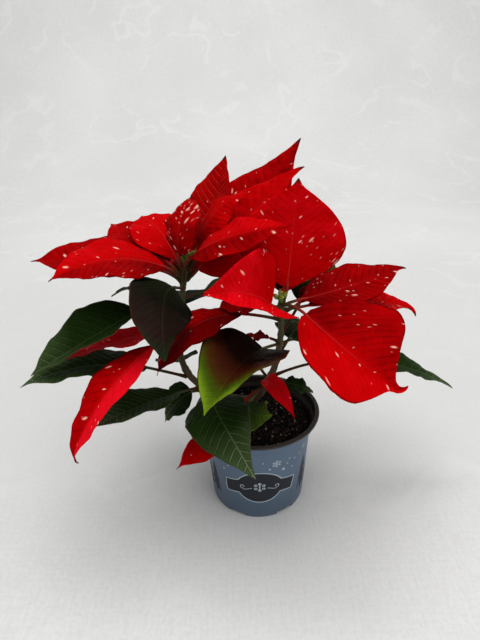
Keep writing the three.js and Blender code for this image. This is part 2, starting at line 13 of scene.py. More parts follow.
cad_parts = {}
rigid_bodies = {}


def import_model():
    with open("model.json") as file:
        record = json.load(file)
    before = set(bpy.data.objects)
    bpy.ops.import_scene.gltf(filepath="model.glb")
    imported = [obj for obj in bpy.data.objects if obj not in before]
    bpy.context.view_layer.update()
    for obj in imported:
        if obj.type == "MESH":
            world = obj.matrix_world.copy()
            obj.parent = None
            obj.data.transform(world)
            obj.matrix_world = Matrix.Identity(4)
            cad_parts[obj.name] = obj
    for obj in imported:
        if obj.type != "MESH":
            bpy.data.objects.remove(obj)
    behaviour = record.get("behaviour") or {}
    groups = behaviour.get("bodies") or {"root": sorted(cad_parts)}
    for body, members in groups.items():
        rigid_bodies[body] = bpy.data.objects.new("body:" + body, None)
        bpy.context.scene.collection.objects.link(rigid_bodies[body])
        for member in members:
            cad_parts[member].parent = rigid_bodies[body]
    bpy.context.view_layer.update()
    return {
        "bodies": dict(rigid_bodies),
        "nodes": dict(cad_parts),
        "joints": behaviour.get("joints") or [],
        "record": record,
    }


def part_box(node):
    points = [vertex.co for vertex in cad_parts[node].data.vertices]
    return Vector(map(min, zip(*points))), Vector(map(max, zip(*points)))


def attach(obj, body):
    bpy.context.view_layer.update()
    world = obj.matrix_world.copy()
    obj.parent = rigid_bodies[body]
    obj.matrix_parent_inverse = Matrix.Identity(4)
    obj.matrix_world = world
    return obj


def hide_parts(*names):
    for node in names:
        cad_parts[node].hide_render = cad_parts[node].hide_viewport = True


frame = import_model()
POT_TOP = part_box("pot")[1]

bl_info = {
    "name": "Potted Poinsettia",
    "version": (1, 0, 0),
    "blender": (4, 5, 0),
    "location": "View3D > Sidebar > Poinsettia",
    "description": "Builds a speckled poinsettia in its printed pot",
    "category": "Add Mesh",
}

MM = 0.001
CM = 0.01
BODY = "root"

# Growth: the shoots, the blades' outlines and every leaf and bract


@dataclass
class Blade:
    """One leaf or bract: angles in degrees, lengths in millimetres.

    speckles says how thickly a bract is speckled, below 0 for one whose tip hasn't dried dark, tone
    how light it is, both its own colour and the light and shade painted on it, and down how far under its
    shoot's tip it grows. heading and rise aim it, droop and sweep bend it down and round by its tip, roll and
    twist turn it about its midrib, fold and cup shape its cross-section, and hook and flick bend its last
    stretch. lean paints light and shade on its halves: the right half is painted lighter than the middle by
    lean, and the left half darker by as much.
    """

    name: str
    outline: str
    shoot: str
    finish: str
    speckles: float
    tone: float
    down: float
    heading: float
    rise: float
    length: float
    width: float
    droop: float
    petiole: float = 12
    sweep: float = 0
    roll: float = 0
    twist: float = 0
    fold: float = 8
    cup: float = -12
    lift: float = 20
    hook: float = 0
    flick: float = 0
    lean: float = 0

    def slope(self, s):
        return math.radians(self.rise - self.droop * s - self.hook * tip_share(s))

    def bearing(self, s):
        return math.radians(self.heading + self.sweep * s + self.flick * tip_share(s))


# A blade's hooked last stretch: where it starts, how long it is, and how suddenly it bends.
HOOK_START, HOOK_LENGTH, HOOK_POWER = 0.85, 0.15, 1.5


def tip_share(s):
    """How far into its last, hooked stretch a blade is at s."""
    return max(0.0, (s - HOOK_START) / HOOK_LENGTH) ** HOOK_POWER


SHOOTS = {
    "a": [(-2, 7, 87), (-22, 4, 93), (-41, 1, 104), (-55, 0, 119), (-61, 3, 138), (-60, 9, 163),
          (-56, 15, 188), (-53, 18, 205)],
    "b": [(-2, 7, 87), (6, 4, 101), (14, 0, 121), (18, -5, 145), (19, -11, 166), (18, -16, 187)],
    "c": [(-2, 7, 87), (5, 0, 101), (9, -6, 114)],
}
# Distance along the blade, then half width as a share of the widest.
OUTLINES = {
    "bract": [(0, 0.07), (0.08, 0.4), (0.22, 0.84), (0.4, 1), (0.58, 0.92), (0.74, 0.66), (0.86, 0.34),
              (0.93, 0.12), (1, 0.01)],
    "broad": [(0, 0.1), (0.05, 0.55), (0.14, 0.93), (0.26, 1), (0.42, 0.9), (0.58, 0.68), (0.74, 0.4),
              (0.88, 0.15), (1, 0.01)],
    "full": [(0, 0.12), (0.05, 0.5), (0.15, 0.82), (0.3, 0.97), (0.45, 1), (0.6, 0.95), (0.74, 0.76),
             (0.86, 0.43), (0.94, 0.13), (1, 0.01)],
    "tailed": [(0, 0.12), (0.07, 0.4), (0.18, 0.67), (0.32, 0.89), (0.46, 0.99), (0.58, 1), (0.68, 0.86),
               (0.77, 0.5), (0.84, 0.18), (0.91, 0.08), (1, 0.01)],
    "leaf": [(0, 0.08), (0.06, 0.45), (0.18, 0.88), (0.34, 1), (0.5, 0.93), (0.66, 0.74), (0.8, 0.47),
             (0.91, 0.19), (1, 0.01)],
}
# Each row gives a Blade's fields in their order; those that it leaves out keep their defaults.
FOLIAGE = [Blade(*row) for row in (
    ("bract_a1", "bract", "a", "bract", 0.15, 0.65, 8, 203, 32, 88, 57, 56, 15, 10, 15, -4, 8, -12, 52, 0,
     0, 0.3),
    ("bract_a2", "bract", "a", "bract", 0.1, 0.4, 11, 179, 15, 98, 56, 18, 18, 2, 12, 2, 16, -8, 46),
    ("bract_a3", "bract", "a", "bract", 0.35, 0.45, 7, 150, 36, 68, 52, 32, 14, -12, 10, -5, 12, -12, 40),
    ("bract_a4", "bract", "a", "bract", 0.15, 0.95, 4, 124, 46, 65, 52, 48, 11, 0, 4, 0, 12, -10, 48),
    ("bract_a5", "full", "a", "bract", 1.2, 0.5, 1, 64, 98, 49, 38, 80, 13, 3, 29, -15, 10, -30, 120),
    ("bract_a6", "full", "a", "veined_bract", 0.01, 0.5, 2, 50, 54, 78, 46, -9, 16, -2, 9, 1, 25, -24, 53,
     -8, 21),
    ("bract_a7", "broad", "a", "bract", 0.15, 0.42, 6, 34, 36, 125, 80, -14, 17, -11, -20, -12, 5, -11, 19,
     -9, -22, -0.1),
    ("bract_a8", "broad", "a", "bract", 0.08, 0.9, 9, 10, 48, 111, 67, 12, 11, 0, -25, -6, 5, -9, 36, 15,
     -18),
    ("bract_a9", "bract", "a", "bract", -0.4, 0.72, 8, 314, 39, 85, 31, 38, 23, 48, -31, -17, -10, 4, 80, 0,
     0, -0.3),
    ("bract_a10", "bract", "a", "bract", 0.3, 0.5, 13, 75, 14, 72, 46, 24, 14),
    ("bract_a11", "bract", "a", "bract", 0.3, 0.4, 16, 108, 10, 70, 44, 30, 16),
    ("bract_a12", "broad", "a", "bract", -0.05, 0.8, 0, -1, 84, 63, 44, 75, 18, -8, -26, -7, -10, -11, 32),
    ("bract_b1", "broad", "b", "bract", 0.15, 1.2, 1, 230, 43, 66, 67, 42, 10, -21, 43, 9, 27, 16, 10),
    ("bract_b2", "bract", "b", "bract", 0.5, 1.05, 0, 36, 83, 76, 76, 0, 11, 8, -58, 18, 7, -15, 60),
    ("bract_b3", "bract", "b", "bract", 0.6, 0.32, 2, 13, 6, 82, 46, -15, 14, -4, -16, 0, 14, -19, 17, 25,
     -33),
    ("bract_b4", "bract", "b", "bract", 0.15, 0.7, 6, 13, 4, 93, 47, 26, 19, -4, 8, -15, 10, 5, 0, 45, -65),
    ("bract_b5", "tailed", "b", "bract", -0.1, 0.72, 0, 315, -26, 88, 87, 10, 20, 25, -16, -9, 28, -16, 16,
     -99, 42, 0.24),
    ("bract_b6", "bract", "b", "bract", 0.3, 0.6, 4, 78, 34, 70, 48, 34, 12, 0, 0, 0, 8, -12, 30),
    ("bract_b7", "bract", "b", "bract", 0.05, 0.3, 10, 172, 21, 31, 32, 39, 15, 27, 6, -3, 6, -12, 22),
    ("bract_b8", "bract", "b", "bract", 0.1, 0.4, 10, 35, 23, 78, 30, 38, 15, 29, -2, 33, 5, -14, 7),
    ("bract_b9", "bract", "b", "turning_leaf", 0, 0.5, 1, 106, 80, 22, 8, 2, 8, 0, 0, 0, 8, -12, 78),
    ("bract_r1", "bract", "a", "bract", 0.25, 1.15, 53, 243, 0, 106, 34, 67, 32, -28, -3, 4, 18, -12, 18,
     60, 8, -0.55),
    ("bract_r2", "bract", "b", "bract", 0.08, 0.1, 14, 190, 10, 84, 46, 82, 28, 14, 0, 0, 5, -14, 20, 0, 0,
     0.35),
    ("bract_r3", "bract", "a", "bract", 0.45, 2.4, 45, 218, 3, 72, 39, 15, 21, -19, 5, -30, 9, -6, 3),
    ("bract_r4", "bract", "c", "bract", 0.02, 0.7, 5, 218, -22, 76, 38, 10, 19, -4, 0, 3, -4, -19, -4),
    ("bract_r5", "bract", "c", "bract", -0.01, 1.3, 3, 285, 36, 54, 16, 79, 7, 16, -23, 0, 26, 0, 64),
    ("bract_r6", "bract", "b", "bract", 0.1, 0.2, 38, 160, 10, 22, 14, 30, 6),
    ("leaf_1", "leaf", "a", "leaf", 0, 0.35, 26, 217, -13, 87, 50, 14, 36, -17, 7, 5, 32, -10, 16),
    ("leaf_2", "leaf", "a", "leaf", 0, 0.6, 88, 204, 28, 92, 46, 44, 34, 2, 3, -6, 12, -13, 30),
    ("leaf_3", "leaf", "a", "leaf", 0, 1.8, 102, 225, 13, 76, 39, 12, 22, 0, -8, 12, 18, -11, 16),
    ("leaf_4", "leaf", "a", "leaf", 0, 0.5, 108, 193, -16, 36, 40, 58, 10, 5, 15, -29, 13, -14, 36),
    ("leaf_5", "leaf", "a", "dusky_leaf", 0, 0.3, 16, 260, 26, 75, 50, 108, 22, 19, 36, 0, -3, -19),
    ("leaf_6", "leaf", "a", "leaf", 0, 0.6, 23, 163, 14, 43, 19, 54, 20, 7, 8, -17, 6, 8, 6),
    ("leaf_7", "leaf", "b", "turning_leaf", 0, 0.4, 38, 241, 18, 74, 63, 67, 27, -18, 13, -31, 22, 3, 21,
     -12, 6),
    ("leaf_8", "leaf", "a", "leaf", 0, 0.75, 118, 265, 41, 98, 51, 102, 22, 56, -16, 15, -9, -20, 20, -18),
    ("leaf_9", "leaf", "b", "leaf", 0, 0.6, 74, 9, -6, 111, 39, 30, 60, -6, 0, -3, 13, -9),
    ("leaf_10", "leaf", "b", "leaf", 0, 0.6, 40, 18, 0, 62, 34, 30, 8),
    ("leaf_11", "leaf", "b", "leaf", 0, 0.4, 82, 345, 5, 26, 22, 40, 10),
    ("leaf_12", "leaf", "c", "young_leaf", 0, 0.8, 16, 250, 3, 41, 30, -23, 23, 90, -20, -25, -6, -12, 33),
    ("leaf_13", "leaf", "a", "leaf", 0, 0.25, 24, 28, 8, 46, 33, -36, 17, 18, 44, 6, 11, -12, 9),
    ("leaf_14", "leaf", "b", "leaf", 0, 0.4, 30, 56, 30, 66, 34, 30, 33, 0, -10, 0, 8, -14, 22),
    ("leaf_15", "leaf", "a", "leaf", 0, 0.5, 84, 112, -10, 36, 38, 38, 12, 0, 0, 0, 11, -4, 4),
    ("leaf_16", "leaf", "a", "leaf", 0, 0.4, 46, 92, 8, 76, 44, 50, 24),
    ("leaf_17", "leaf", "b", "leaf", 0, 0.4, 58, 62, 10, 76, 44, 55, 26),
    ("leaf_18", "leaf", "b", "leaf", 0, 0.4, 80, 118, 5, 66, 40, 55, 22),
)]


# Settings


def length(name, text, millimetres):
    """A length property with a default in millimetres."""
    return bpy.props.FloatProperty(
        name=name, description=text, default=millimetres * MM, min=0, precision=4, unit="LENGTH"
    )


def number(name, text, default, least=0, unit="NONE"):
    return bpy.props.FloatProperty(name=name, description=text, default=default, min=least, unit=unit)


def share(name, text, default):
    """A plain number from 0 to 1."""
    return bpy.props.FloatProperty(
        name=name, description=text, default=default, min=0, max=1, subtype="FACTOR"
    )


def count(name, text, default):
    return bpy.props.IntProperty(name=name, description=text, default=default, min=1)


def colour(name, text, default):
    return bpy.props.FloatVectorProperty(
        name=name, description=text, default=default, size=3, min=0, max=1, subtype="COLOR"
    )


class PotSettings(bpy.types.PropertyGroup):
    """The moulded pot and its drain holes"""

    height: length("Height", "Foot to rim", POT_TOP.z / MM)
    rim_radius: length("Rim radius", "Outer edge of the rim's lip", POT_TOP.x / MM)
    rim_thick: length("Rim thickness", "Height of the rim's lip", 1.8)
    mouth_radius: length("Mouth radius", "Inside of the collar", 49)
    neck_radius: length("Neck radius", "Wall under the collar", 45.5)
    neck_drop: length("Collar height", "From the rim to where the wall turns out", 11)
    foot_radius: length("Foot radius", "Wall at its lowest", 40.2)
    wall: length("Wall", "Wall thickness", 1.3)
    segments: count("Segments", "Faces round the pot", 144)
    holes: count("Drain holes", "Holes through the floor", 6)
    notches: count("Foot notches", "Notches that let water out under the wall", 6)
    body_colour: colour("Body colour", "Printed outside of the wall", (0.100, 0.146, 0.212))
    rim_colour: colour("Rim colour", "Rim and inside", (0.036, 0.026, 0.021))


class PrintSettings(bpy.types.PropertyGroup):
    """The winter ornament printed on the wall"""

    proud: length("Thickness", "How far the ink stands off the wall", 0.08)
    plaque_width: length("Plaque width", "Tip to tip of the ribbon", 58.5)
    outline: length("Outline", "Width of the pale line round the plaque", 0.9)
    curl: length("Flourish", "Width of the line that winds beside the plaque's snowflake", 0.6)
    ink: colour("Dark ink", "Plaque and trees", (0.022, 0.024, 0.031))
    chalk: colour("Pale ink", "Outline, snowflakes and dots", (0.42, 0.47, 0.52))
    seed: count("Seed", "Layout of the loose dots round the back", 7)


class SoilSettings(bpy.types.PropertyGroup):
    """The potting soil"""

    drop: length("Drop", "Rim to soil", 8.5)
    crumb: length("Crumb size", "Typical crumb", 2.3)
    crumbs: count("Crumbs", "Crumbs per square metre of soil", 330000)
    flecks: count("Pale flecks", "Pale flecks per square metre of soil", 26000)
    seed: count("Seed", "Scatter", 11)
    peat: colour("Peat", "Dark crumbs", (0.0065, 0.0045, 0.0035))
    fleck: colour("Fleck", "Pale mineral flecks and fibres", (0.36, 0.30, 0.23))


class StemSettings(bpy.types.PropertyGroup):
    """Trunk and shoots"""

    trunk: length("Trunk radius", "Trunk from the soil to where the shoots part", 3.6)
    foot: length("Shoot foot radius", "A shoot where it leaves the trunk", 3.2)
    tip: length("Shoot tip radius", "A shoot under its flowers", 1.9)
    knuckle: share("Knuckles", "How far the stem swells where a leaf joins it", 0.22)
    sides: count("Sides", "Faces round a stem", 20)
    wood: colour("Old wood", "Bark near the soil", (0.100, 0.075, 0.045))
    green: colour("Young shoot", "Bark near the flowers", (0.055, 0.062, 0.020))


class BladeSettings(bpy.types.PropertyGroup):
    """Leaves and bracts"""

    rows: count("Rows", "Steps along a blade", 111)
    columns: count("Columns", "Points across a blade", 27)
    thickness: length("Thickness", "At the midrib", 0.7)
    ripple: length("Ripple", "Height of the margin's waves", 1.5)
    waves: number("Waves", "Waves along a margin", 2.5)
    quilting: length("Quilting", "How far the skin swells between its veins", 0.6)
    wrinkle: length("Wrinkles", "How far the whole blade swells and sinks, unevenly", 4)
    vein_pairs: number("Vein pairs", "Side veins on each half of a blade", 14, 1)
    stalk: length("Stalk radius", "Petiole where it leaves the shoot", 1.25)
    # Bract red is a bract where it is lit and deep red where it is in shade. A blade's tone mixes between
    # them, so the mix holds painted light and shade as well as each bract's own red.
    bright: colour("Bract red", "Lit side of a bract", (0.50, 0.0002, 0.0010))
    deep: colour("Deep red", "Darker bracts and undersides", (0.115, 0.0, 0.0004))
    speckle: colour("Speckle", "Pale speckles on the bracts", (1.0, 0.47, 0.38))
    green: colour("Leaf green", "Upper side of a grown leaf", (0.0052, 0.0145, 0.0011))
    vein: colour("Leaf vein", "Veins of a grown leaf", (0.036, 0.062, 0.018))


class FlowerSettings(bpy.types.PropertyGroup):
    """The small true flowers in the middle of each bloom"""

    cup: length("Cup radius", "A cup at its widest", 1.9)
    tall: length("Cup height", "A cup from base to brim", 5.2)
    stalk: length("Stalk radius", "A cup's stalk", 0.9)
    green: colour("Cup green", "Cups and stalks", (0.130, 0.210, 0.030))
    gland: colour("Gland", "Nectar gland on a cup's side", (0.62, 0.50, 0.030))
    stamen: colour("Stamen", "Threads in a cup's mouth", (0.50, 0.060, 0.040))


class StageSettings(bpy.types.PropertyGroup):
    """Floor, light and camera"""

    floor: colour("Floor", "Floor and backdrop", (0.68, 0.672, 0.654))
    key_power: number("Key light", "Power of the large light overhead", 42, unit="POWER")
    fill_power: number("Fill light", "Power of the light from the side", 6, unit="POWER")
    sky: number("Room light", "Strength of the light from all round", 0.46)
    lens: number("Lens", "Camera's focal length", 27.06, 1, "CAMERA")


class PoinsettiaSettings(bpy.types.PropertyGroup):
    """Everything a user can change"""

    pot: bpy.props.PointerProperty(type=PotSettings)
    print: bpy.props.PointerProperty(type=PrintSettings)
    soil: bpy.props.PointerProperty(type=SoilSettings)
    stem: bpy.props.PointerProperty(type=StemSettings)
    blade: bpy.props.PointerProperty(type=BladeSettings)
    flower: bpy.props.PointerProperty(type=FlowerSettings)
    stage: bpy.props.PointerProperty(type=StageSettings)


# Node trees


class Wire:
    """A socket that Python expressions can use: each operator adds its Math node."""

    def __init__(self, tree, socket=None):
        self.tree = tree
        self.socket = socket

    def node(self, kind, settings=None, values=None, out=0):
        """Adds a node with its settings, then its sockets' values or links; returns its output or outputs."""
        made = self.tree.nodes.new(kind if "Node" in kind else "ShaderNode" + kind)
        for key, value in (settings or {}).items():
            if key == "stops":
                set_stops(made.color_ramp, value)
            else:
                setattr(made, key, value)
        for key, value in (values or {}).items():
            if isinstance(value, Wire):
                self.tree.links.new(value.socket, made.inputs[key])
            else:
                made.inputs[key].default_value = value
        if isinstance(out, tuple):
            return [Wire(self.tree, made.outputs[key]) for key in out]
        return Wire(self.tree, made.outputs[out])

    def math(self, operation, *others):
        return self.node("Math", {"operation": operation}, dict(enumerate((self, *others))))

    def __add__(self, other):
        return self.math("ADD", other)

    __radd__ = __add__

    def __sub__(self, other):
        return self.math("SUBTRACT", other)

    def __rsub__(self, other):
        return self.node("Math", {"operation": "SUBTRACT"}, {0: other, 1: self})

    def __mul__(self, other):
        return self.math("MULTIPLY", other)

    __rmul__ = __mul__

    def __truediv__(self, other):
        return self.math("DIVIDE", other)

    def __pow__(self, other):
        return self.math("POWER", other)

    def above(self, level):
        """1 where this is more than the level, 0 elsewhere."""
        return self.math("GREATER_THAN", level)

    def over(self, low, high):
        """Rises smoothly from 0 at low to 1 at high; with low above high it falls."""
        values = {"Value": self, "From Min": low, "From Max": high}
        return self.node("MapRange", {"interpolation_type": "SMOOTHSTEP"}, values)

    def mix(self, first, second):
        """The colour that this wire, as a factor, mixes from the first to the second."""
        return self.node("Mix", {"data_type": "RGBA"}, {0: self, 6: first, 7: second}, out=2)

    def parts(self):
        return self.node("SeparateXYZ", None, {0: self}, out=(0, 1, 2))

    def vector(self, x, y, z):
        return self.node("CombineXYZ", None, {0: x, 1: y, 2: z})

    def times(self, factor):
        """This vector, longer by a factor, or by one for each of its parts."""
        return self.node("VectorMath", {"operation": "MULTIPLY"}, {0: self, 1: factor})

    def plus(self, direction, distance):
        """This vector moved along a direction by a distance."""
        return self.node("VectorMath", {"operation": "MULTIPLY_ADD"}, {0: direction, 1: distance, 2: self})


def set_stops(ramp, stops):
    ramp.elements[0].position = stops[0][0]
    ramp.elements[-1].position = stops[-1][0]
    for place, _ in stops[1:-1]:
        ramp.elements.new(place)
    for element, (_, shade) in zip(ramp.elements, stops):
        element.color = tint(shade)


def tint(shade, factor=1.0):
    """A colour made lighter or darker by a factor, and opaque."""
    return (*(channel * factor for channel in shade[:3]), 1.0)


def noise(place, scale, detail, roughness=0.55):
    values = {"Vector": place, "Scale": scale, "Detail": detail, "Roughness": roughness}
    return place.node("TexNoise", None, values)


def cells(place, scale, settings=None, out=0):
    return place.node("TexVoronoi", settings, {"Vector": place, "Scale": scale}, out)


class Growth:
    """A Geometry Nodes tree with named inputs, which turns a base mesh into a finished one."""

    def __init__(self, name, **inputs):
        """The inputs are the labels of each kind of socket, beside the geometry and its material."""
        kinds = {"Geometry": "Geometry", "Material": "Material"}
        kinds.update((label, kind) for kind, labels in inputs.items() for label in labels)
        self.tree = bpy.data.node_groups.new(name, "GeometryNodeTree")
        for label, kind in kinds.items():
            self.tree.interface.new_socket(label, in_out="INPUT", socket_type="NodeSocket" + kind)
        self.tree.interface.new_socket("Geometry", in_out="OUTPUT", socket_type="NodeSocketGeometry")
        enter = self.tree.nodes.new("NodeGroupInput")
        self.inputs = {label: Wire(self.tree, enter.outputs[label]) for label in kinds}
        self.start = Wire(self.tree)

    def __getitem__(self, label):
        return self.inputs[label]

    def make(self, kind, settings=None, out=0, **sockets):
        """Adds a geometry node. A socket's name is written with _ for its spaces."""
        values = {key.replace("_", " "): value for key, value in sockets.items()}
        return self.start.node("GeometryNode" + kind, settings, values, out)

    def attribute(self, name, kind="FLOAT"):
        return self.make("InputNamedAttribute", {"data_type": kind}, Name=name)

    def facing(self, vector, axis):
        """A rotation that turns an axis to face along a vector."""
        return self.start.node("FunctionNodeAlignRotationToVector", {"axis": axis}, {"Vector": vector})

    def line(self):
        """The base mesh's edges as a curve."""
        return self.make("MeshToCurve", Mesh=self["Geometry"])

    def tube(self, line, radius, sides, **sockets):
        """A round tube with closed ends along a curve."""
        ring = self.make("CurvePrimitiveCircle", Resolution=sides, Radius=radius)
        return self.make("CurveToMesh", Curve=line, Profile_Curve=ring, Fill_Caps=True, **sockets)

    def join(self, *geometries):
        made = self.tree.nodes.new("GeometryNodeJoinGeometry")
        for geometry in reversed(geometries):
            self.tree.links.new(geometry.socket, made.inputs[0])
        return Wire(self.tree, made.outputs[0])

    def instance(self, points, shape, rotation=(0, 0, 0), scale=(1, 1, 1), selection=True):
        placed = self.make(
            "InstanceOnPoints", Points=points, Instance=shape, Rotation=rotation, Scale=scale,
            Selection=selection,
        )
        return self.make("RealizeInstances", Geometry=placed)

    def finish(self, geometry):
        """Ends the tree: smooth, instances made real, material set."""
        smooth = self.make("SetShadeSmooth", Geometry=geometry)
        real = self.make("RealizeInstances", Geometry=smooth)
        done = self.make("SetMaterial", Geometry=real, Material=self["Material"])
        leave = self.tree.nodes.new("NodeGroupOutput")
        self.tree.links.new(done.socket, leave.inputs[0])
        return self

    def grow(self, name, mesh, values):
        """Runs the tree on a mesh with these input values, and returns the plain object it makes."""
        holder = new_object(name, mesh)
        modifier = holder.modifiers.new("Growth", "NODES")
        modifier.node_group = self.tree
        for item in self.tree.interface.items_tree:
            if item.in_out == "INPUT" and item.name in values:
                modifier[item.identifier] = values[item.name]
        graph = bpy.context.evaluated_depsgraph_get()
        grown = bpy.data.meshes.new_from_object(
            holder.evaluated_get(graph), preserve_all_data_layers=True, depsgraph=graph
        )
        if not grown.polygons:
            raise RuntimeError(name + " grew no faces")
        holder.modifiers.clear()
        holder.data = grown
        grown.name = name
        return holder


def tie_in(piece, node):
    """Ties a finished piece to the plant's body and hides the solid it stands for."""
    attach(piece, BODY)
    if node:
        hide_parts(node)


def new_object(name, data, material=None):
    made = bpy.data.objects.new(name, data)
    bpy.context.collection.objects.link(made)
    if material:
        data.materials.append(material)
    return made


def mesh_from(name, points, edges=(), faces=(), **attributes):
    """A mesh with its point attributes: numbers or vectors."""
    mesh = bpy.data.meshes.new(name)
    mesh.from_pydata([tuple(point) for point in points], list(edges), list(faces))
    for key, values in attributes.items():
        is_vector = not isinstance(values[0], (int, float))
        layer = mesh.attributes.new(key, "FLOAT_VECTOR" if is_vector else "FLOAT", "POINT")
        flat = [part for value in values for part in value] if is_vector else list(values)
        layer.data.foreach_set("vector" if is_vector else "value", flat)
    mesh.update()
    return mesh


def grid_faces(rows, columns):
    """The faces between rows of points, each row as many points as there are columns."""
    corners = [i * columns + j for i in range(rows - 1) for j in range(columns - 1)]
    return [(k, k + 1, k + 1 + columns, k + columns) for k in corners]


def lehmer(seed):
    """Repeatable random numbers from 0 to 1."""
    state = seed
    while True:
        state = state * 16807 % 2147483647
        yield state / 2147483647


# Finishes


def start_finish(name, roughness, specular):
    """A material, the place on the surface as a wire, and the shader with what stays the same set."""
    material = bpy.data.materials.new(name)
    material.use_nodes = True
    shader = material.node_tree.nodes["Principled BSDF"]
    shader.inputs["Roughness"].default_value = roughness
    shader.inputs["Specular IOR Level"].default_value = specular
    place = Wire(material.node_tree).node("TexCoord", out="Object")
    return material, place, shader


def lay_on(shader, colour, roughness, height, relief, strength):
    """Links what changes over the surface: colour, roughness if it does, and a bump height."""
    link = shader.id_data.links.new
    link(colour.socket, shader.inputs["Base Color"])
    if roughness:
        link(roughness.socket, shader.inputs["Roughness"])
    bump = height.node("Bump", None, {"Strength": strength, "Distance": relief, "Height": height})
    link(bump.socket, shader.inputs["Normal"])


# The count of veins starts at 0 and may run below it, so a whole number is added before its fraction is read.
VEINS_BELOW = 1000.0
# Speckles in two sizes: cells to a centimetre, least radius, how much radii differ, how often, how solid.
SPECKLES = ((1.6, 0.10, 0.14, 0.75, 1.0), (3.9, 0.12, 0.16, 0.35, 0.55))
# A bract's painted sheen where it is lightest, its midrib, its veins above and below, its dried tip, and its
# petiole's two ends.
PAINTED_SHEEN, RIB, TOP_VEIN = (0.80, 0.004, 0.012, 1), (0.80, 0.10, 0.09, 1), (0.46, 0.055, 0.025, 1)
BACK_VEIN, DRIED = (0.52, 0.085, 0.075, 1), (0.035, 0.012, 0.008, 1)
BRACT_STALK = (0.045, 0.030, 0.012, 1), (0.33, 0.02, 0.018, 1)
# A leaf's petiole where it leaves the stem, and what lightens all of its veins.
LEAF_STALK, VEIN_LIGHT = (0.075, 0.030, 0.016, 1), (0.004, 0.005, 0.002)
# Leaf skins: colour stops from the stalk to the tip, how much lighter each channel of the veins is, the
# margin, the underside, and how far the margin runs ahead of the midrib in colour.
LEAF_SKINS = {
    "dusky_leaf": (
        [(0.0, (0.006, 0.011, 0.003)), (0.4, (0.0050, 0.0045, 0.0025)), (0.75, (0.0190, 0.0090, 0.0070)),
         (1.0, (0.013, 0.026, 0.011))],
        (1.7, 1.7, 1.6), (0.100, 0.034, 0.012, 1), (0.040, 0.058, 0.028, 1), 0.12,
    ),
    # The turning leaf's near-black stretch by its stalk is partly a dark reddish brown of its own and partly
    # painted shade, as from a bract over it.
    "turning_leaf": (
        [(0.0, (0.0040, 0.0008, 0.0004)), (0.4, (0.0060, 0.0010, 0.0004)), (0.54, (0.038, 0.0055, 0.0015)),
         (0.66, (0.048, 0.020, 0.0020)), (0.8, (0.045, 0.085, 0.003)), (1.0, (0.150, 0.245, 0.010))],
        (1.8, 1.8, 1.8), (0.130, 0.010, 0.004, 1), (0.060, 0.070, 0.018, 1), 0.26,
    ),
    "young_leaf": (
        [(0.0, (0.008, 0.020, 0.002)), (0.5, (0.020, 0.042, 0.004)), (1.0, (0.060, 0.100, 0.010))],
        (2.2, 2.0, 2.6), (0.220, 0.260, 0.050, 1), (0.080, 0.120, 0.034, 1), 0.12,
    ),
}


def vein_masks(x, q, s, u, gap):
    """Where side veins, midrib, the fine net between them and the dips along them are, from 0 to 1; the dips
    are painted with shade.
    """
    turn = (q + VEINS_BELOW).math("FRACT")
    apart = turn.math("MINIMUM", 1.0 - turn) * gap
    lateral = apart.over(0.045, 0.012) * u.over(1.0, 0.6) * u.over(0.01, 0.06)
    dip_shade = (1.0 - turn * (1.0 - turn) * 4.0).over(0.1, 1.0) * u.over(0.05, 0.3) * u.over(1.0, 0.7)
    midrib = (x.math("ABSOLUTE") + s * 0.03).over(0.075, 0.035)
    edges = {"voronoi_dimensions": "2D", "feature": "DISTANCE_TO_EDGE"}
    net = cells(x.vector(x, q * gap, 0.0), 5.5, edges).over(0.09, 0.02)
    return lateral, midrib, net, dip_shade


def speckle_mask(x, q, gap, amount):
    """Pale speckles drawn out along the side veins, large and small, gathered in clusters."""
    cluster = noise(x.vector(x, q * gap, 0.0), 0.42, 1.0).over(0.42, 0.62)
    mask = None
    for scale, least, spread, often, solid in SPECKLES:
        spot = x.vector(x * 0.7 + scale, q * gap, 0.0)
        distance, random = cells(spot, scale, {"voronoi_dimensions": "2D"}, out=(0, 1))
        chance, size, _ = random.parts()
        here = (amount * (cluster * 0.85 + 0.15) * often).above(chance)
        radius = (size * spread + least) * (amount.over(0.5, 1.5) * 0.45 + 1.0)
        dots = (distance / radius).over(1.3, 0.25) * here * solid
        mask = dots if mask is None else mask.math("MAXIMUM", dots)
    return mask


def blade_wires(place):
    """What a point of a blade knows: its place and vein count, shares, part, speckles, tone (its own
    lightness with painted light and shade) and vein gap.
    """
    groups = [
        place.node("Attribute", {"attribute_name": name}, out="Vector").parts()
        for name in ("blade", "share", "look")
    ]
    (x, _, q), (s, u, part), (amount, tone, gap) = groups
    return x, q, s, u, part.above(0.5), part.above(1.5), amount, tone, gap


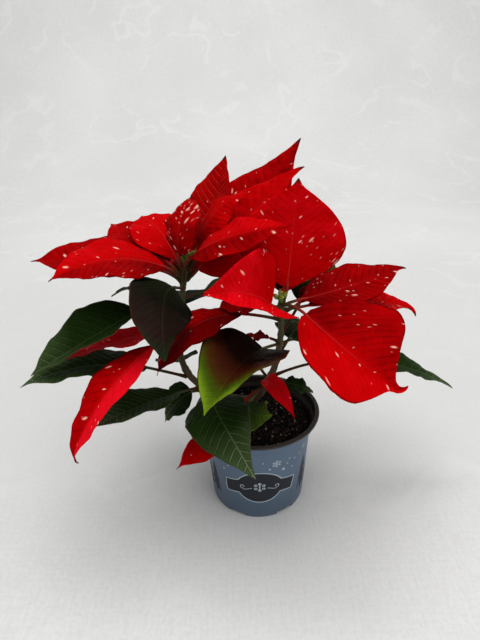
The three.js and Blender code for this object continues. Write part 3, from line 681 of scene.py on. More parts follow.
def bract_finish(name, settings, vein, vein_share):
    """A bract's skin: bright, with painted shade in its dips and, with a deeper red, towards its base, a
    painted sheen where it is lightest, speckled, with a paler midrib and a dark tip.
    """
    material, place, shader = start_finish(name, 0.6, 0.006)
    x, q, s, u, under, stalk, amount, tone, gap = blade_wires(place)
    lateral, midrib, net, dip_shade = vein_masks(x, q, s, u, gap)
    cloud = noise(place, 42.0, 4.0)
    grain = noise(x.vector(x * 0.5, q * gap * 7.0, 0.0), 1.0, 2.0) - 0.5
    light = tone + (cloud - 0.5) * 0.35 + grain * 0.3
    # Painted shade in the dips along the veins. Darker towards the base: partly painted shade, partly a
    # deeper red.
    light = light - dip_shade * (0.20 - tone * 0.12) - s.over(0.55, -0.05) * 0.35
    skin = light.over(-0.25, 1.0).mix(tint(settings.deep), tint(settings.bright))
    # A painted sheen, pinkish, where a bract is lightest.
    skin = light.over(0.85, 1.6).mix(skin, PAINTED_SHEEN)
    skin = (net * 0.10).mix(skin, tint(settings.deep, 1.6))
    skin = (lateral * vein_share).mix(skin, vein)
    skin = (midrib * s.over(0.95, 0.0) * 0.15).mix(skin, RIB)
    back = (cloud * 0.5 + tone * 0.4).mix(tint(settings.deep, 0.9), tint(settings.bright, 0.72))
    back = (lateral * 0.55).mix(back, BACK_VEIN)
    skin = under.mix(skin, back)
    spots = speckle_mask(x, q, gap, amount.math("ABSOLUTE") * (1.0 - under * 0.6))
    skin = (spots * 0.95).mix(skin, tint(settings.speckle))
    dried = s.over(0.945, 0.985) * amount.above(0.0)
    skin = (dried * 0.9).mix(skin, DRIED)
    skin = stalk.mix(skin, s.over(-0.9, 0.35).mix(*BRACT_STALK))
    height = spots * 0.2 - lateral * (1.0 - under * 1.8) * 0.3 - midrib * 0.5 - net * 0.2
    height = height + cloud * 0.3 + grain
    lay_on(shader, skin, cloud * 0.16 + 0.46, height, 0.0005, 0.7)
    return material


def leaf_finish(name, stops, vein_gain, margin, back, ahead):
    """A green leaf's skin: its colour along the blade, lightened by its own lightness and painted light, with
    painted shade in its dips, how its veins stand out, its margin and underside.
    """
    material, place, shader = start_finish(name, 0.5, 0.014)
    x, q, s, u, under, stalk, _, tone, gap = blade_wires(place)
    lateral, midrib, net, dip_shade = vein_masks(x, q, s, u, gap)
    cloud = noise(place, 36.0, 4.0)
    along = s + u * u * ahead + (cloud - 0.5) * 0.16
    ramp = place.node("ValToRGB", {"stops": stops}, {"Fac": along})
    vein = place.node("VectorMath", {"operation": "MULTIPLY_ADD"}, {0: ramp, 1: vein_gain, 2: VEIN_LIGHT})
    light = tone * 0.8 + (cloud - 0.5) * 0.5
    # Painted light from tone, and painted shade in the dips along the veins.
    skin = (light * 0.12 + net * 0.16 - dip_shade * 0.08).mix(ramp, vein)
    skin = (lateral * tone * 1.2).mix(skin, vein)
    skin = (midrib * 0.9).mix(skin, vein)
    skin = under.mix(skin, (lateral * 0.6 + net * 0.15).mix(back, tint(back, 1.9)))
    rim = (u + (cloud - 0.5) * 0.03).over(0.94, 0.99) * 0.8
    skin = rim.mix(skin, margin)
    skin = stalk.mix(skin, s.over(-0.95, 0.3).mix(LEAF_STALK, tint(back, 1.2)))
    height = cloud * 0.3 - lateral * (1.0 - under * 1.8) * 0.7 - midrib * 0.5 - net * 0.25
    lay_on(shader, skin, cloud * 0.18 + 0.38, height, 0.0006, 0.7)
    return material


def blade_finishes(settings):
    """The skins that blades are finished with, by name."""
    gain = tuple(pale / plain for pale, plain in zip(settings.vein, settings.green))
    stops = [(0.0, settings.green), (0.6, tint(settings.green, 1.15)), (1.0, (0.030, 0.056, 0.010))]
    plain = (stops, gain, (0.070, 0.095, 0.034, 1), (0.050, 0.080, 0.036, 1), 0.12)
    return {
        "bract": bract_finish("bract_skin", settings, tint(settings.deep, 0.8), 0.06),
        "veined_bract": bract_finish("veined_bract_skin", settings, TOP_VEIN, 0.55),
        **{key: leaf_finish(key + "_skin", *look) for key, look in {"leaf": plain, **LEAF_SKINS}.items()},
    }


def pot_finish(settings):
    """Smooth plastic, blue outside and dark on the rim and inside, scuffed, with painted shade darkening the
    wall towards its foot, and some dust low down.
    """
    material, place, shader = start_finish("moulded_plastic", 0.42, 0.22)
    inside = place.node("Attribute", {"attribute_name": "zone"}, out="Fac").over(0.4, 0.6)
    cloud = noise(place, 30.0, 4.0)
    grain = noise(place, 900.0, 2.0)
    x, y, z = place.parts()
    scuff = noise(place.vector(x * 60.0, y * 60.0, z * 900.0), 1.0, 3.0).over(0.62, 0.78)
    body = (cloud * 0.6 + scuff * 0.35).mix(tint(settings.body_colour, 0.9), tint(settings.body_colour, 1.18))
    # Painted shade: the wall darkens towards its foot.
    body = (z.over(0.05, 0.01) * 0.8).mix(body, tint(settings.body_colour, 0.68))
    rim = cloud.mix(tint(settings.rim_colour, 0.8), tint(settings.rim_colour, 1.3))
    dust = z.over(0.006, 0.0) * cloud * 0.4
    shade = dust.mix(inside.mix(body, rim), (0.20, 0.20, 0.19, 1))
    lay_on(shader, shade, cloud * 0.12 + scuff * 0.1 + 0.34, grain + scuff, 0.00005, 0.4)
    return material


def ink_finish(name, ink, roughness):
    """Printed ink, a little thin in places."""
    material, place, shader = start_finish(name, roughness, 0.12)
    speck = noise(place, 1400.0, 2.0)
    cloud = noise(place, 60.0, 3.0)
    shade = (cloud * 0.5 + speck.over(0.35, 0.65) * 0.4).mix(tint(ink, 0.78), tint(ink, 1.2))
    lay_on(shader, shade, cloud * 0.15 + roughness - 0.07, speck, 0.00003, 0.3)
    return material


def soil_finish(name, dark, light, damp):
    """Crumbly matter between a dark and a light colour, rougher where it is dry."""
    material, place, shader = start_finish(name, 0.9, 0.08)
    crumb = noise(place, 700.0, 5.0, 0.7)
    patch = noise(place, 90.0, 3.0)
    lump = cells(place, 380.0, out="Color").parts()[0]
    shade = (crumb * patch + lump**3.0 * 0.9).over(0.12, 1.05).mix(dark, light)
    lay_on(shader, shade, patch * 0.3 + damp, crumb, 0.0006, 0.9)
    return material


def stem_finish(settings):
    """Bark, brown and corky low down, green and streaked above."""
    material, place, shader = start_finish("bark", 0.55, 0.12)
    x, y, z = place.parts()
    streak = noise(place.vector(x * 3.0, y * 3.0, z * 0.6), 420.0, 4.0)
    cork = cells(place, 520.0).over(0.28, 0.12)
    age = (z + (streak - 0.5) * 0.03).over(0.095, 0.18)
    shade = age.mix(tint(settings.wood), tint(settings.green))
    shade = ((streak - 0.5) * 0.9).over(0.0, 0.3).mix(shade, (0.120, 0.050, 0.028, 1))
    shade = (cork * 0.5).mix(shade, (0.190, 0.160, 0.110, 1))
    lay_on(shader, shade, streak * 0.2 + 0.42, streak + cork * 0.5, 0.0003, 0.7)
    return material


def flower_finish(settings):
    """Green cups with yellow glands and red threads, told apart by zone."""
    material, place, shader = start_finish("flower_cup", 0.45, 0.2)
    zone = place.node("Attribute", {"attribute_name": "zone"}, out="Fac")
    cloud = noise(place, 260.0, 3.0)
    green = cloud.mix(tint(settings.green, 0.6), tint(settings.green, 1.4))
    shade = zone.over(0.4, 0.6).mix(green, tint(settings.gland))
    shade = zone.over(1.4, 1.6).mix(shade, tint(settings.stamen))
    lay_on(shader, shade, cloud * 0.2 + 0.35, cloud, 0.0003, 0.5)
    return material


def floor_finish(settings):
    """Pale cloth with a plain weave, faint creases and a band behind the pot painted darker as shade."""
    material, place, shader = start_finish("pale_cloth", 0.85, 0.15)
    x, y, z = place.parts()
    cloud = noise(place, 3.0, 3.0)
    warp = noise(place.vector(x * 420.0, y * 50.0, z * 50.0), 1.0, 3.0)
    slub = noise(place.vector(x * 40.0, y * 380.0, z * 380.0), 1.0, 3.0)
    fibre = noise(place, 330.0, 3.0)
    crease = (noise(place, 4.5, 2.5) - 0.5).math("ABSOLUTE").over(0.03, 0.0)
    crease = crease * noise(place, 9.0, 1.0).over(0.46, 0.56)
    weave = (cloud * 0.3 + warp * 0.22 + slub * 0.18 + fibre * 0.3 + crease * 0.1).over(0.41, 0.6)
    shade = weave.mix(tint(settings.floor, 0.945), tint(settings.floor, 1.05))
    # Painted shade: a darker band on the floor behind the pot.
    painted_shade_band = y.over(0.9, 0.15) * y.over(-0.2, 0.1) * 0.6
    shade = painted_shade_band.mix(shade, tint(settings.floor, 0.88))
    lay_on(shader, shade, None, warp + slub + fibre, 0.0004, 0.3)
    return material


# Leaves, bracts and stems

# How far a blade's foot stays off its shoot, and how far its petiole's root reaches back, in millimetres.
SEAT_GAP, ROOT = 0.3, 1.8
PETIOLE_STEPS = 12
# A narrow blade is less quilted and wrinkled than one this wide, a short one has fewer veins than one this
# long, and a rib is thinner on a blade shorter than this.
WIDE, SHORT, LONG = 50, 45, 60
# The trunk's steps, how much it tapers, and how far it runs on past where the shoots part; then the step
# along a shoot and a knuckle's length. Lengths are in millimetres.
TRUNK_STEPS, TRUNK_TAPER, TRUNK_OVERLAP = 8, 0.08, 1.5
SHOOT_STEP, KNUCKLE_LENGTH = 1.2, 1.8


def cubic(start, leave, end, arrive, t):
    """A point of the smooth curve from start to end that leaves and arrives at those speeds."""
    return (
        start * (2 * t**3 - 3 * t**2 + 1) + leave * (t**3 - 2 * t**2 + t)
        + end * (3 * t**2 - 2 * t**3) + arrive * (t**3 - t**2)
    )


class Shoot:
    """A smooth shoot, measured along its length from the trunk's head to its tip."""

    STEPS = 60

    def __init__(self, corners):
        stops = [Vector(corner) * MM for corner in corners]
        stops = [2 * stops[0] - stops[1], *stops, 2 * stops[-1] - stops[-2]]
        self.points = []
        for before, start, end, after in zip(stops, stops[1:], stops[2:], stops[3:]):
            leave, arrive = (end - before) / 2, (after - start) / 2
            self.points += [cubic(start, leave, end, arrive, k / self.STEPS) for k in range(self.STEPS)]
        self.points.append(stops[-2])
        self.reach = [0.0]
        for near, far in zip(self.points, self.points[1:]):
            self.reach.append(self.reach[-1] + (far - near).length)
        self.length = self.reach[-1]

    def at(self, u):
        goal = min(max(u, 0.0), 1.0) * self.length
        i = next((k for k in range(1, len(self.reach)) if self.reach[k] >= goal), len(self.reach) - 1)
        near, far = self.reach[i - 1], self.reach[i]
        return self.points[i - 1].lerp(self.points[i], (goal - near) / (far - near))

    def along(self, u):
        return (self.at(min(u + 0.004, 1)) - self.at(max(u - 0.004, 0))).normalized()


def shoot_radius(settings, u):
    return settings.foot + (settings.tip - settings.foot) * u


def smooth_through(points, s):
    """The height at s of a smooth curve through (place, height) points."""
    i = next((k for k in range(1, len(points)) if points[k][0] >= s), len(points) - 1)
    (x1, y1), (x2, y2) = points[i - 1], points[i]
    x0, y0 = points[max(i - 2, 0)]
    x3, y3 = points[min(i + 1, len(points) - 1)]
    span = x2 - x1
    leave = (y2 - y0) / (x2 - x0) * span if i > 1 else y2 - y1
    arrive = (y3 - y1) / (x3 - x1) * span if i < len(points) - 1 else y2 - y1
    return cubic(y1, leave, y2, arrive, (s - x1) / span)


def aim(bearing, slope):
    return Vector((math.cos(bearing) * math.cos(slope), math.sin(bearing) * math.cos(slope), math.sin(slope)))


def turned_frame(bearing, slope, roll):
    """The side and up vectors of a midrib that runs that way and has rolled by that angle."""
    side = Vector((math.sin(bearing), -math.cos(bearing), 0))
    up = side.cross(aim(bearing, slope))
    c, s = math.cos(roll), math.sin(roll)
    return side * c + up * s, up * c - side * s


def midrib(blade, shoots, settings, stem):
    """The line of a blade's petiole and midrib, whose points carry all that the blade grows from."""
    shoot = shoots[blade.shoot]
    u = 1 - blade.down * MM / shoot.length
    along = shoot.along(u)
    bearing, lift, rise = (math.radians(angle) for angle in (blade.heading, blade.lift, blade.rise))
    out = aim(bearing, lift)
    tilt = out.dot(along)
    across = (out - along * tilt).normalized()
    spot = shoot.at(u) + across * (shoot_radius(stem, u) + SEAT_GAP * MM + settings.stalk * abs(tilt))
    rows = {"points": [], "side": [], "up": [], "half": [], "s": [], "radius": [], "sink": []}

    def add(point, frame, half, s, radius, sink):
        for key, value in zip(rows, (point, *frame, half, s, radius, sink)):
            rows[key].append(value)

    roll = math.radians(blade.roll)
    add(spot - out * ROOT * MM, turned_frame(bearing, lift, roll), 0.0, -1.1, settings.stalk * 1.45, 0.0)
    for i in range(PETIOLE_STEPS):
        share = i / PETIOLE_STEPS
        radius = settings.stalk * (1 - 0.12 * share + 0.35 * max(0, 1 - share * 6))
        frame = turned_frame(bearing, lift + (rise - lift) * share, roll)
        add(spot.copy(), frame, 0.0, share - 1, radius, 0.0)
        slope = lift + (rise - lift) * (i + 0.5) / PETIOLE_STEPS
        spot += aim(bearing, slope) * blade.petiole * MM / PETIOLE_STEPS
    first = len(rows["points"])
    last = settings.rows - 1
    for i in range(settings.rows):
        s = i / last
        frame = turned_frame(blade.bearing(s), blade.slope(s), math.radians(blade.roll + blade.twist * s))
        half = blade.width / 2 * MM * max(smooth_through(OUTLINES[blade.outline], s), 0.01)
        radius = settings.stalk * (0.12 + 0.76 * (1 - s) ** 1.3) * min(1, blade.length / LONG)
        sink = (radius * 0.8 + settings.thickness * 0.4) * min(1, s * 12)
        add(spot.copy(), frame, half, s, radius, sink)
        middle = s + 0.5 / last
        spot += aim(blade.bearing(middle), blade.slope(middle)) * blade.length * MM / last
    points = rows.pop("points")
    edges = [(i, i + 1) for i in range(len(points) - 1)]
    return mesh_from(blade.name + "_midrib", points, edges, **rows), first


def blade_growth():
    """Bends a flat blade and its rib along a midrib whose points carry a side, an up and a half width."""
    g = Growth(
        "Blade", Int=("Rows", "First row", "Columns"),
        Float=("Fold", "Cup", "Thickness", "Ripple", "Waves", "Quilting", "Wrinkle", "Length", "Vein gap",
               "Speckles", "Tone", "Lean"),
    )
    vector, vector_kind = g.start.vector, "FLOAT_VECTOR"
    flat = g.make("MeshGrid", Size_X=2.0, Size_Y=1.0, Vertices_X=g["Columns"], Vertices_Y=g["Rows"])
    u, along, _ = g.make("InputPosition").parts()
    row = ((along + 0.5) * (g["Rows"] - 1.0)).math("ROUND") + g["First row"]

    def on_rib(value, kind="FLOAT"):
        settings = {"data_type": kind, "domain": "POINT"}
        return g.make("SampleIndex", settings, Geometry=g["Geometry"], Value=value, Index=row)

    spot = on_rib(g.make("InputPosition"), vector_kind)
    side, up = (on_rib(g.attribute(name, vector_kind), vector_kind) for name in ("side", "up"))
    half, s = (on_rib(g.attribute(name)) for name in ("half", "s"))
    t = u.math("ABSOLUTE")
    hand = u.math("SIGN")
    slope = g["Fold"] + g["Cup"] * t
    out = (slope.math("SINE") - g["Fold"].math("SINE")) / g["Cup"]
    high = (g["Fold"].math("COSINE") - slope.math("COSINE")) / g["Cup"]
    swell = (s * math.pi).math("SINE").math("MAXIMUM", 0.0)
    wave = (g["Waves"] * s * math.tau + hand).math("SINE") * t * t
    frill = (g["Waves"] * s * 17.0 + hand * 2.0).math("SINE") * t**6.0 * 0.25
    lifted = half * high + swell**0.6 * g["Ripple"] * (wave + frill)
    normal = up.times(slope.math("COSINE")).plus(side, slope.math("SINE") * hand * -1.0)

    across_cm = half * t / CM
    along_cm = s * g["Length"] / CM
    gap_cm = g["Vein gap"] / CM
    veins = (along_cm - across_cm * 0.55 - across_cm * across_cm * 0.12) / gap_cm + u.above(0.0) * 0.5
    turn = (veins + VEINS_BELOW).math("FRACT")
    pillow = turn * (1.0 - turn) * 4.0 - 0.5
    relief = g["Quilting"] * pillow * (1.0 - t**4.0) * t.over(0.0, 0.25) * swell**0.5
    crumple = noise(vector(across_cm * hand, along_cm, g["Tone"] * 40.0), 0.9, 2.0) - 0.5
    relief = relief + g["Wrinkle"] * crumple * swell**0.5 * t.over(0.0, 0.35)
    top = spot.plus(side, half * out * hand).plus(up, lifted).plus(normal, relief)
    thick = g["Thickness"] * (1.0 - t**6.0) * s.over(1.0, 0.9) * s.over(0.0, 0.03)
    under = top.plus(normal, thick * -1.0)

    def dressed(geometry, tone, place, share):
        look = vector(g["Speckles"], tone, gap_cm)
        for name, value in (("blade", place), ("share", share), ("look", look)):
            settings = {"data_type": vector_kind, "domain": "POINT"}
            geometry = g.make("StoreNamedAttribute", settings, Geometry=geometry, Name=name, Value=value)
        return geometry

    # Painted light and shade: the right half is painted lighter and the left half darker by lean, and the
    # wrinkles' hollows are painted darker and their ridges lighter.
    tone = g["Tone"] + g["Lean"] * hand * t.over(0.0, 0.2) + crumple * 0.5
    place = vector(across_cm * hand, along_cm, veins)
    sheets = [
        g.make("SetPosition", Geometry=dressed(flat, tone, place, vector(s, t, part)), Position=where)
        for part, where in ((0.0, top), (1.0, under))
    ]
    sheets[1] = g.make("FlipFaces", Mesh=sheets[1])
    skin = g.make("MergeByDistance", Geometry=g.join(*sheets), Distance=1e-6)
    own = g.attribute("s")
    line = dressed(g.line(), g["Tone"], vector(0.0, own * g["Length"] / CM, 0.0), vector(own, 0.0, 2.0))
    sunk = g.attribute("up", vector_kind).times(g.attribute("sink") * -1.0)
    line = g.make("SetPosition", Geometry=line, Offset=sunk)
    return g.finish(g.join(skin, g.tube(line, 1.0, 10, Scale=g.attribute("radius"))))


def grow_blades(context, kind):
    """Grows every leaf or bract of that kind."""
    settings, stem = context.scene.poinsettia.blade, context.scene.poinsettia.stem
    shoots = {key: Shoot(corners) for key, corners in SHOOTS.items()}
    finishes = blade_finishes(settings)
    growth = blade_growth()
    for blade in FOLIAGE:
        if not blade.name.startswith(kind):
            continue
        rib, first = midrib(blade, shoots, settings, stem)
        pairs = settings.vein_pairs * (0.75 if blade.length < SHORT else 1)
        narrow = min(1, blade.width / WIDE)
        piece = growth.grow(blade.name + "_grown", rib, {
            "Rows": settings.rows, "First row": first, "Columns": settings.columns,
            "Fold": math.radians(blade.fold), "Cup": math.radians(blade.cup or 0.5),
            "Thickness": settings.thickness, "Ripple": settings.ripple, "Waves": settings.waves,
            "Quilting": settings.quilting * narrow, "Wrinkle": settings.wrinkle * narrow,
            "Length": blade.length * MM, "Vein gap": blade.length * MM / pairs,
            "Speckles": float(blade.speckles), "Tone": float(blade.tone), "Lean": float(blade.lean),
            "Material": finishes[blade.finish],
        })
        tie_in(piece, blade.name)


def tube_growth():
    """Lays a round tube along each line of the base mesh, as thick as its points say."""
    g = Growth("Tube", Int=("Sides",))
    return g.finish(g.tube(g.line(), 1.0, g["Sides"], Scale=g.attribute("radius")))


# Pot

# In millimetres: the pad under the pot's middle, the recess round it, the floor and the collar's slope.
PAD_RADIUS, RECESS_RADIUS, RECESS_DEEP, RECESS_SLOPE = 14, 32.5, 3, 1.5
FLOOR_THICK, COLLAR_SLOPE = 4.5, 4
HOLE_RING, HOLE_RADIUS, HOLE_DEEP = 23 * MM, 3.2 * MM, 12 * MM
NOTCH_SIZE, NOTCH_INSET, NOTCH_TURN = (15 * MM, 15 * MM, 6 * MM), 2 * MM, math.pi / 100


def softened(corners, steps=5):
    """A profile of (radius, height, softness, zone) corners with each corner rounded off."""
    out = []
    for i, (r, z, soft, zone) in enumerate(corners):
        spot = Vector((r, z))
        if not soft or i in (0, len(corners) - 1):
            out.append((r, z, zone))
            continue
        near, far = (
            spot + side.normalized() * min(soft, side.length * 0.48)
            for side in (Vector(corners[k][:2]) - spot for k in (i - 1, i + 1))
        )
        for k in range(steps + 1):
            t = k / steps
            point = near.lerp(spot, t).lerp(spot.lerp(far, t), t)
            out.append((point.x, point.y, zone))
    return out


def turned(name, profile, segments):
    """A body of revolution from (radius, height, zone) points, closed, with outward faces."""
    bm = bmesh.new()
    zone = bm.verts.layers.float.new("zone")
    line = []
    for r, z, share in profile:
        vert = bm.verts.new((r, 0, z))
        vert[zone] = share
        line.append(vert)
    edges = [bm.edges.new(pair) for pair in zip(line, line[1:])]
    bmesh.ops.spin(bm, geom=line + edges, axis=(0, 0, 1), cent=(0, 0, 0), steps=segments, angle=math.tau)
    bmesh.ops.remove_doubles(bm, verts=bm.verts, dist=1e-6)
    bmesh.ops.recalc_face_normals(bm, faces=bm.faces)
    return mesh_of(name, bm)


def mesh_of(name, bm):
    mesh = bpy.data.meshes.new(name)
    bm.to_mesh(mesh)
    bm.free()
    return mesh


def pot_mesh(pot):
    """The pot, turned: from under its middle out over the foot, up the wall, over the rim and down inside."""
    neck, lip, collar = pot.height - pot.neck_drop, pot.height - pot.rim_thick, pot.mouth_radius + pot.wall
    shoulder, floor = neck + COLLAR_SLOPE * MM, FLOOR_THICK * MM
    edge, bend = 0.5 * MM, 1.5 * MM
    recess = [(PAD_RADIUS, 0), (PAD_RADIUS + RECESS_SLOPE, RECESS_DEEP),
              (RECESS_RADIUS - RECESS_SLOPE, RECESS_DEEP), (RECESS_RADIUS, 0)]
    corners = [
        (0, 0, 0, 0), *((r * MM, z * MM, edge, 0) for r, z in recess), (pot.foot_radius, 0, 1.6 * MM, 0),
        (pot.neck_radius, neck, 2 * MM, 0), (collar, shoulder, 2 * MM, 0), (collar, lip, edge, 0),
        (pot.rim_radius, lip, edge, 1), (pot.rim_radius, pot.height, 0.9 * MM, 1),
        (pot.mouth_radius, pot.height, 0.9 * MM, 1), (pot.mouth_radius, shoulder, bend, 1),
        (pot.neck_radius - pot.wall, neck - pot.wall, bend, 1), (pot.foot_radius - pot.wall, floor, bend, 1),
        (0, floor, 0, 1),
    ]
    return turned("pot_wall", softened(corners), pot.segments)


def drain_growth():
    """Cuts a ring of round holes through the floor and a ring of notches out of the foot."""
    g = Growth("Drainage", Int=("Holes", "Notches"), Float=("Foot",))

    def ring(number, radius, turn, cutter):
        circle = g.make("MeshCircle", Vertices=number, Radius=radius)
        spun = g.make("Transform", Geometry=circle, Rotation=(0, 0, turn))
        return g.instance(spun, cutter, g.facing(g.make("InputPosition"), "X"))

    hole = g.make("MeshCylinder", Vertices=28, Radius=HOLE_RADIUS, Depth=HOLE_DEEP)
    notch = g.make("MeshCube", Size=NOTCH_SIZE)
    holes = ring(g["Holes"], HOLE_RING, math.pi / 6, hole)
    notches = ring(g["Notches"], g["Foot"] - NOTCH_INSET, NOTCH_TURN, notch)
    difference = {"operation": "DIFFERENCE"}
    return g.finish(g.make("MeshBoolean", difference, Mesh_1=g["Geometry"], Mesh_2=g.join(holes, notches)))


# Print

WALL = ("Foot", "Flare", "Proud")
# How far motifs and lines of pale ink stand off what is under them.
MOTIF_LIFT, LINE_LIFT = 0.00003, 0.00002
# Round the front: (distance round, height, size), in millimetres.
PLAQUE_FLAKE = (0, 36.5, 5.0)
FRONT_FLAKES = [(12.6, 60.2, 3.6), (-19.5, 61.5, 3.0), (38.5, 64.0, 2.4)]
FRONT_DOTS = [(23.2, 61.2, 0.75), (28.2, 58.6, 0.8), (33.8, 60.0, 0.7), (21.4, 57.2, 0.75), (26.6, 50.6, 0.8),
              (18.3, 52.4, 1.35), (7.4, 55.6, 0.9), (-5.4, 59.0, 0.8), (-28.5, 49.4, 0.9), (-24.5, 54.5, 0.7),
              (-34.0, 59.0, 0.9), (-12.0, 56.6, 0.7), (2.5, 62.8, 0.6)]
FRONT_TREES = [(41.5, 14.5, 37), (-41.5, 14.5, 34), (52.5, 15.0, 26), (-51.5, 15.5, 28)]
# Round the back, in millimetres: how many, where they start, and how far they run or how far apart they are.
BACK_SPOTS, BACK_START, BACK_RUN = 34, 58, 148
BACK_TREES, TREES_START, TREES_APART, TREE_FOOT = 9, 66, 15.2, 14.5
# How far each may be moved on round the pot, then the least and the spread of heights and motifs' sizes.
SHIFT, SPOT_HEIGHT, FLAKE_SIZE, DOT_SIZE, TREE_SIZE = 3, (37, 30), (2.0, 1.8), (0.6, 0.7), (20, 17)


def wrap(g, geometry):
    """Wraps flat ink round the pot's wall: x is the distance round from the front, y the height."""
    x, y, z = g.make("InputPosition").parts()
    angle = x / g["Foot"] - math.pi / 2
    radius = g["Foot"] + y * g["Flare"] + z + g["Proud"]
    where = x.vector(radius * angle.math("COSINE"), radius * angle.math("SINE"), y)
    return g.finish(g.make("SetPosition", Geometry=geometry, Position=where))


def wrap_growth():
    """Wraps the whole base mesh."""
    g = Growth("Wrapped ink", Float=WALL)
    return wrap(g, g["Geometry"])


def motif_growth():
    """Prints a motif at each point, turned about its middle as many times as it has arms."""
    g = Growth("Printed motif", Object=("Motif",), Int=("Arms",), Float=WALL)
    shape = g.make("ObjectInfo", out="Geometry", Object=g["Motif"])
    arms = g.make("MeshLine", Count=g["Arms"], Offset=(0.0, 0.0, 0.0))
    turn = g.make("InputIndex") / g["Arms"] * math.tau
    whole = g.instance(arms, shape, turn.vector(0.0, 0.0, turn))
    size = g.attribute("size")
    return wrap(g, g.instance(g["Geometry"], whole, scale=size.vector(size, size, 1.0)))


def plaque_edges(x):
    """The plaque's lower and upper edge at x: an oval over a ribbon with slanted ends, in millimetres."""
    middle, tall, wide = 35.6, 16.6, 18.4
    meet_low, low, low_slope = 17.2, 28.1, 0.18
    meet_high, high, high_slope = 16.6, 42.6, 0.27
    end, end_low, end_slope = 27, 26.2, 5
    far = abs(x)
    oval = tall * math.sqrt(max(0, 1 - (far / wide) ** 2))
    ribbon_high = high - (far - meet_high) * high_slope
    ribbon_low = max(low - (far - meet_low) * low_slope, end_low + (far - end) * end_slope)
    low = middle - oval if far < meet_low else ribbon_low
    high = middle + oval if far < meet_high else ribbon_high
    return low, max(high, low)


def plaque_mesh(width):
    columns, rows = 85, 7
    across = [(i / (columns - 1) - 0.5) * width for i in range(columns)]
    edges = [plaque_edges(x) for x in across]
    points = [
        (x * MM, (low + (high - low) * j / (rows - 1)) * MM, 0)
        for j in range(rows) for x, (low, high) in zip(across, edges)
    ]
    return mesh_from("plaque", points, (), grid_faces(rows, columns))


def band_mesh(name, path, width, closed):
    """A flat band of ink along a path of (x, height) points in millimetres."""
    points, count_points = [], len(path)
    for i, spot in enumerate(path):
        before = path[(i - 1) % count_points] if closed or i else spot
        after = path[(i + 1) % count_points] if closed or i < count_points - 1 else spot
        run = Vector((after[0] - before[0], after[1] - before[1])).normalized()
        left = Vector((-run.y, run.x)) * width / 2
        points += [(*(Vector(spot) * MM + left), LINE_LIFT), (*(Vector(spot) * MM - left), LINE_LIFT)]
    faces = grid_faces(count_points, 2)
    if closed:
        faces.append((2 * count_points - 2, 2 * count_points - 1, 1, 0))
    return mesh_from(name, points, (), faces)


def plaque_outline(width, step=0.75):
    """The (x, height) points round the plaque, along its upper edge and back along its lower one."""
    half = width / 2
    steps = [half - step * k for k in range(int(half / step) * 2 + 1)]
    return [(x, plaque_edges(x)[1]) for x in steps] + [(x, plaque_edges(x)[0]) for x in reversed(steps)]


def curl(side):
    """Half of the flourish in the plaque: a line that winds into a small scroll."""
    start, swing = 34.0, 1.2
    middle_x, middle_y, widest = 13.2, 36.2, 2.4
    path = [(side * x, start + swing * math.sin(x / 3)) for x in (6.0, 7.5, 9.0, 10.5, 12.0)]
    for k in range(14):
        turn = math.pi * (0.5 + k / 7)
        radius = widest * (1 - k / 17)
        path.append((side * (middle_x - radius * math.cos(turn)), middle_y - radius * math.sin(turn)))
    return path


def flake_arm():
    """One arm of a snowflake, a unit long along +Y: a bar with two pairs of barbs."""
    bars = [((0, 0), (0, 1), 0.16)]
    for side in (-1, 1):
        bars += [((0, 0.45), (side * 0.28, 0.74), 0.12), ((0, 0.7), (side * 0.2, 0.92), 0.11)]
    points = []
    for start, end, width in bars:
        start, end = Vector(start), Vector(end)
        run = (end - start).normalized()
        left = Vector((-run.y, run.x)) * width / 2
        points += [(*corner, 0) for corner in (start - left, end - left, end + left, start + left)]
    return mesh_from("flake_arm", points, (), [tuple(range(k, k + 4)) for k in range(0, len(points), 4)])


def dot_mesh(sides=14):
    turns = [k * math.tau / sides for k in range(sides)]
    return mesh_from("dot", [(math.cos(a), math.sin(a), 0) for a in turns], (), [tuple(range(sides))])


def conifer_mesh():
    """A plain stepped conifer, a unit tall, with a short trunk: heights and half widths."""
    rows = [(0.0, 0.025), (0.08, 0.025), (0.08, 0.19), (0.22, 0.13), (0.36, 0.09), (0.36, 0.15), (0.5, 0.10),
            (0.62, 0.07), (0.62, 0.11), (0.8, 0.06), (1.0, 0.004)]
    points = [(x, y, 0) for y, half in rows for x in (-half, 0, half)]
    faces = [face for face in grid_faces(len(rows), 3) if points[face[0]][1] != points[face[2]][1]]
    return mesh_from("conifer", points, (), faces)


def sky_round_the_back(seed):
    """Loose snowflakes, dots and trees for the sides and the back of the pot."""
    random = lehmer(seed)
    flakes, dots, trees = [], [], []

    def draw(least, more):
        return least + more * next(random)

    for k in range(BACK_SPOTS):
        x = draw(BACK_START + k * BACK_RUN / BACK_SPOTS, SHIFT)
        y = draw(*SPOT_HEIGHT)
        if k % 4 == 1:
            flakes.append((x, y, draw(*FLAKE_SIZE)))
        else:
            dots.append((x, y, draw(*DOT_SIZE)))
    for k in range(BACK_TREES):
        trees.append((draw(TREES_START + k * TREES_APART, SHIFT), TREE_FOOT, draw(*TREE_SIZE)))
    return flakes, dots, trees


# Soil and flowers

# How far the soil stays off the pot, and how far the trunk runs under the rim to its foot, in millimetres.
SOIL_GAP, TRUNK_FOOT = 0.4, 20.5
# The soil's top: how high its heaps and small bumps are in millimetres, and how tight its waves are.
HEAP, UNEVEN, WAVES_ROUND, WAVES_OUT = 0.8, 1.1, 3, 130
# Each flower head: its name, its shoot, how many cups, how far they reach in millimetres, and a seed.
FLOWER_HEADS = [("cyathia_a", "a", 9, 9, 9), ("cyathia_b", "b", 5, 4, 8)]
# The knot that they grow from and how far a cup overlaps its stalk, in millimetres, and how far cups lean.
KNOT_RADIUS, KNOT_RISE, CUP_OVERLAP, CUP_LEAN = 1.9, 2.2, 0.5, 38


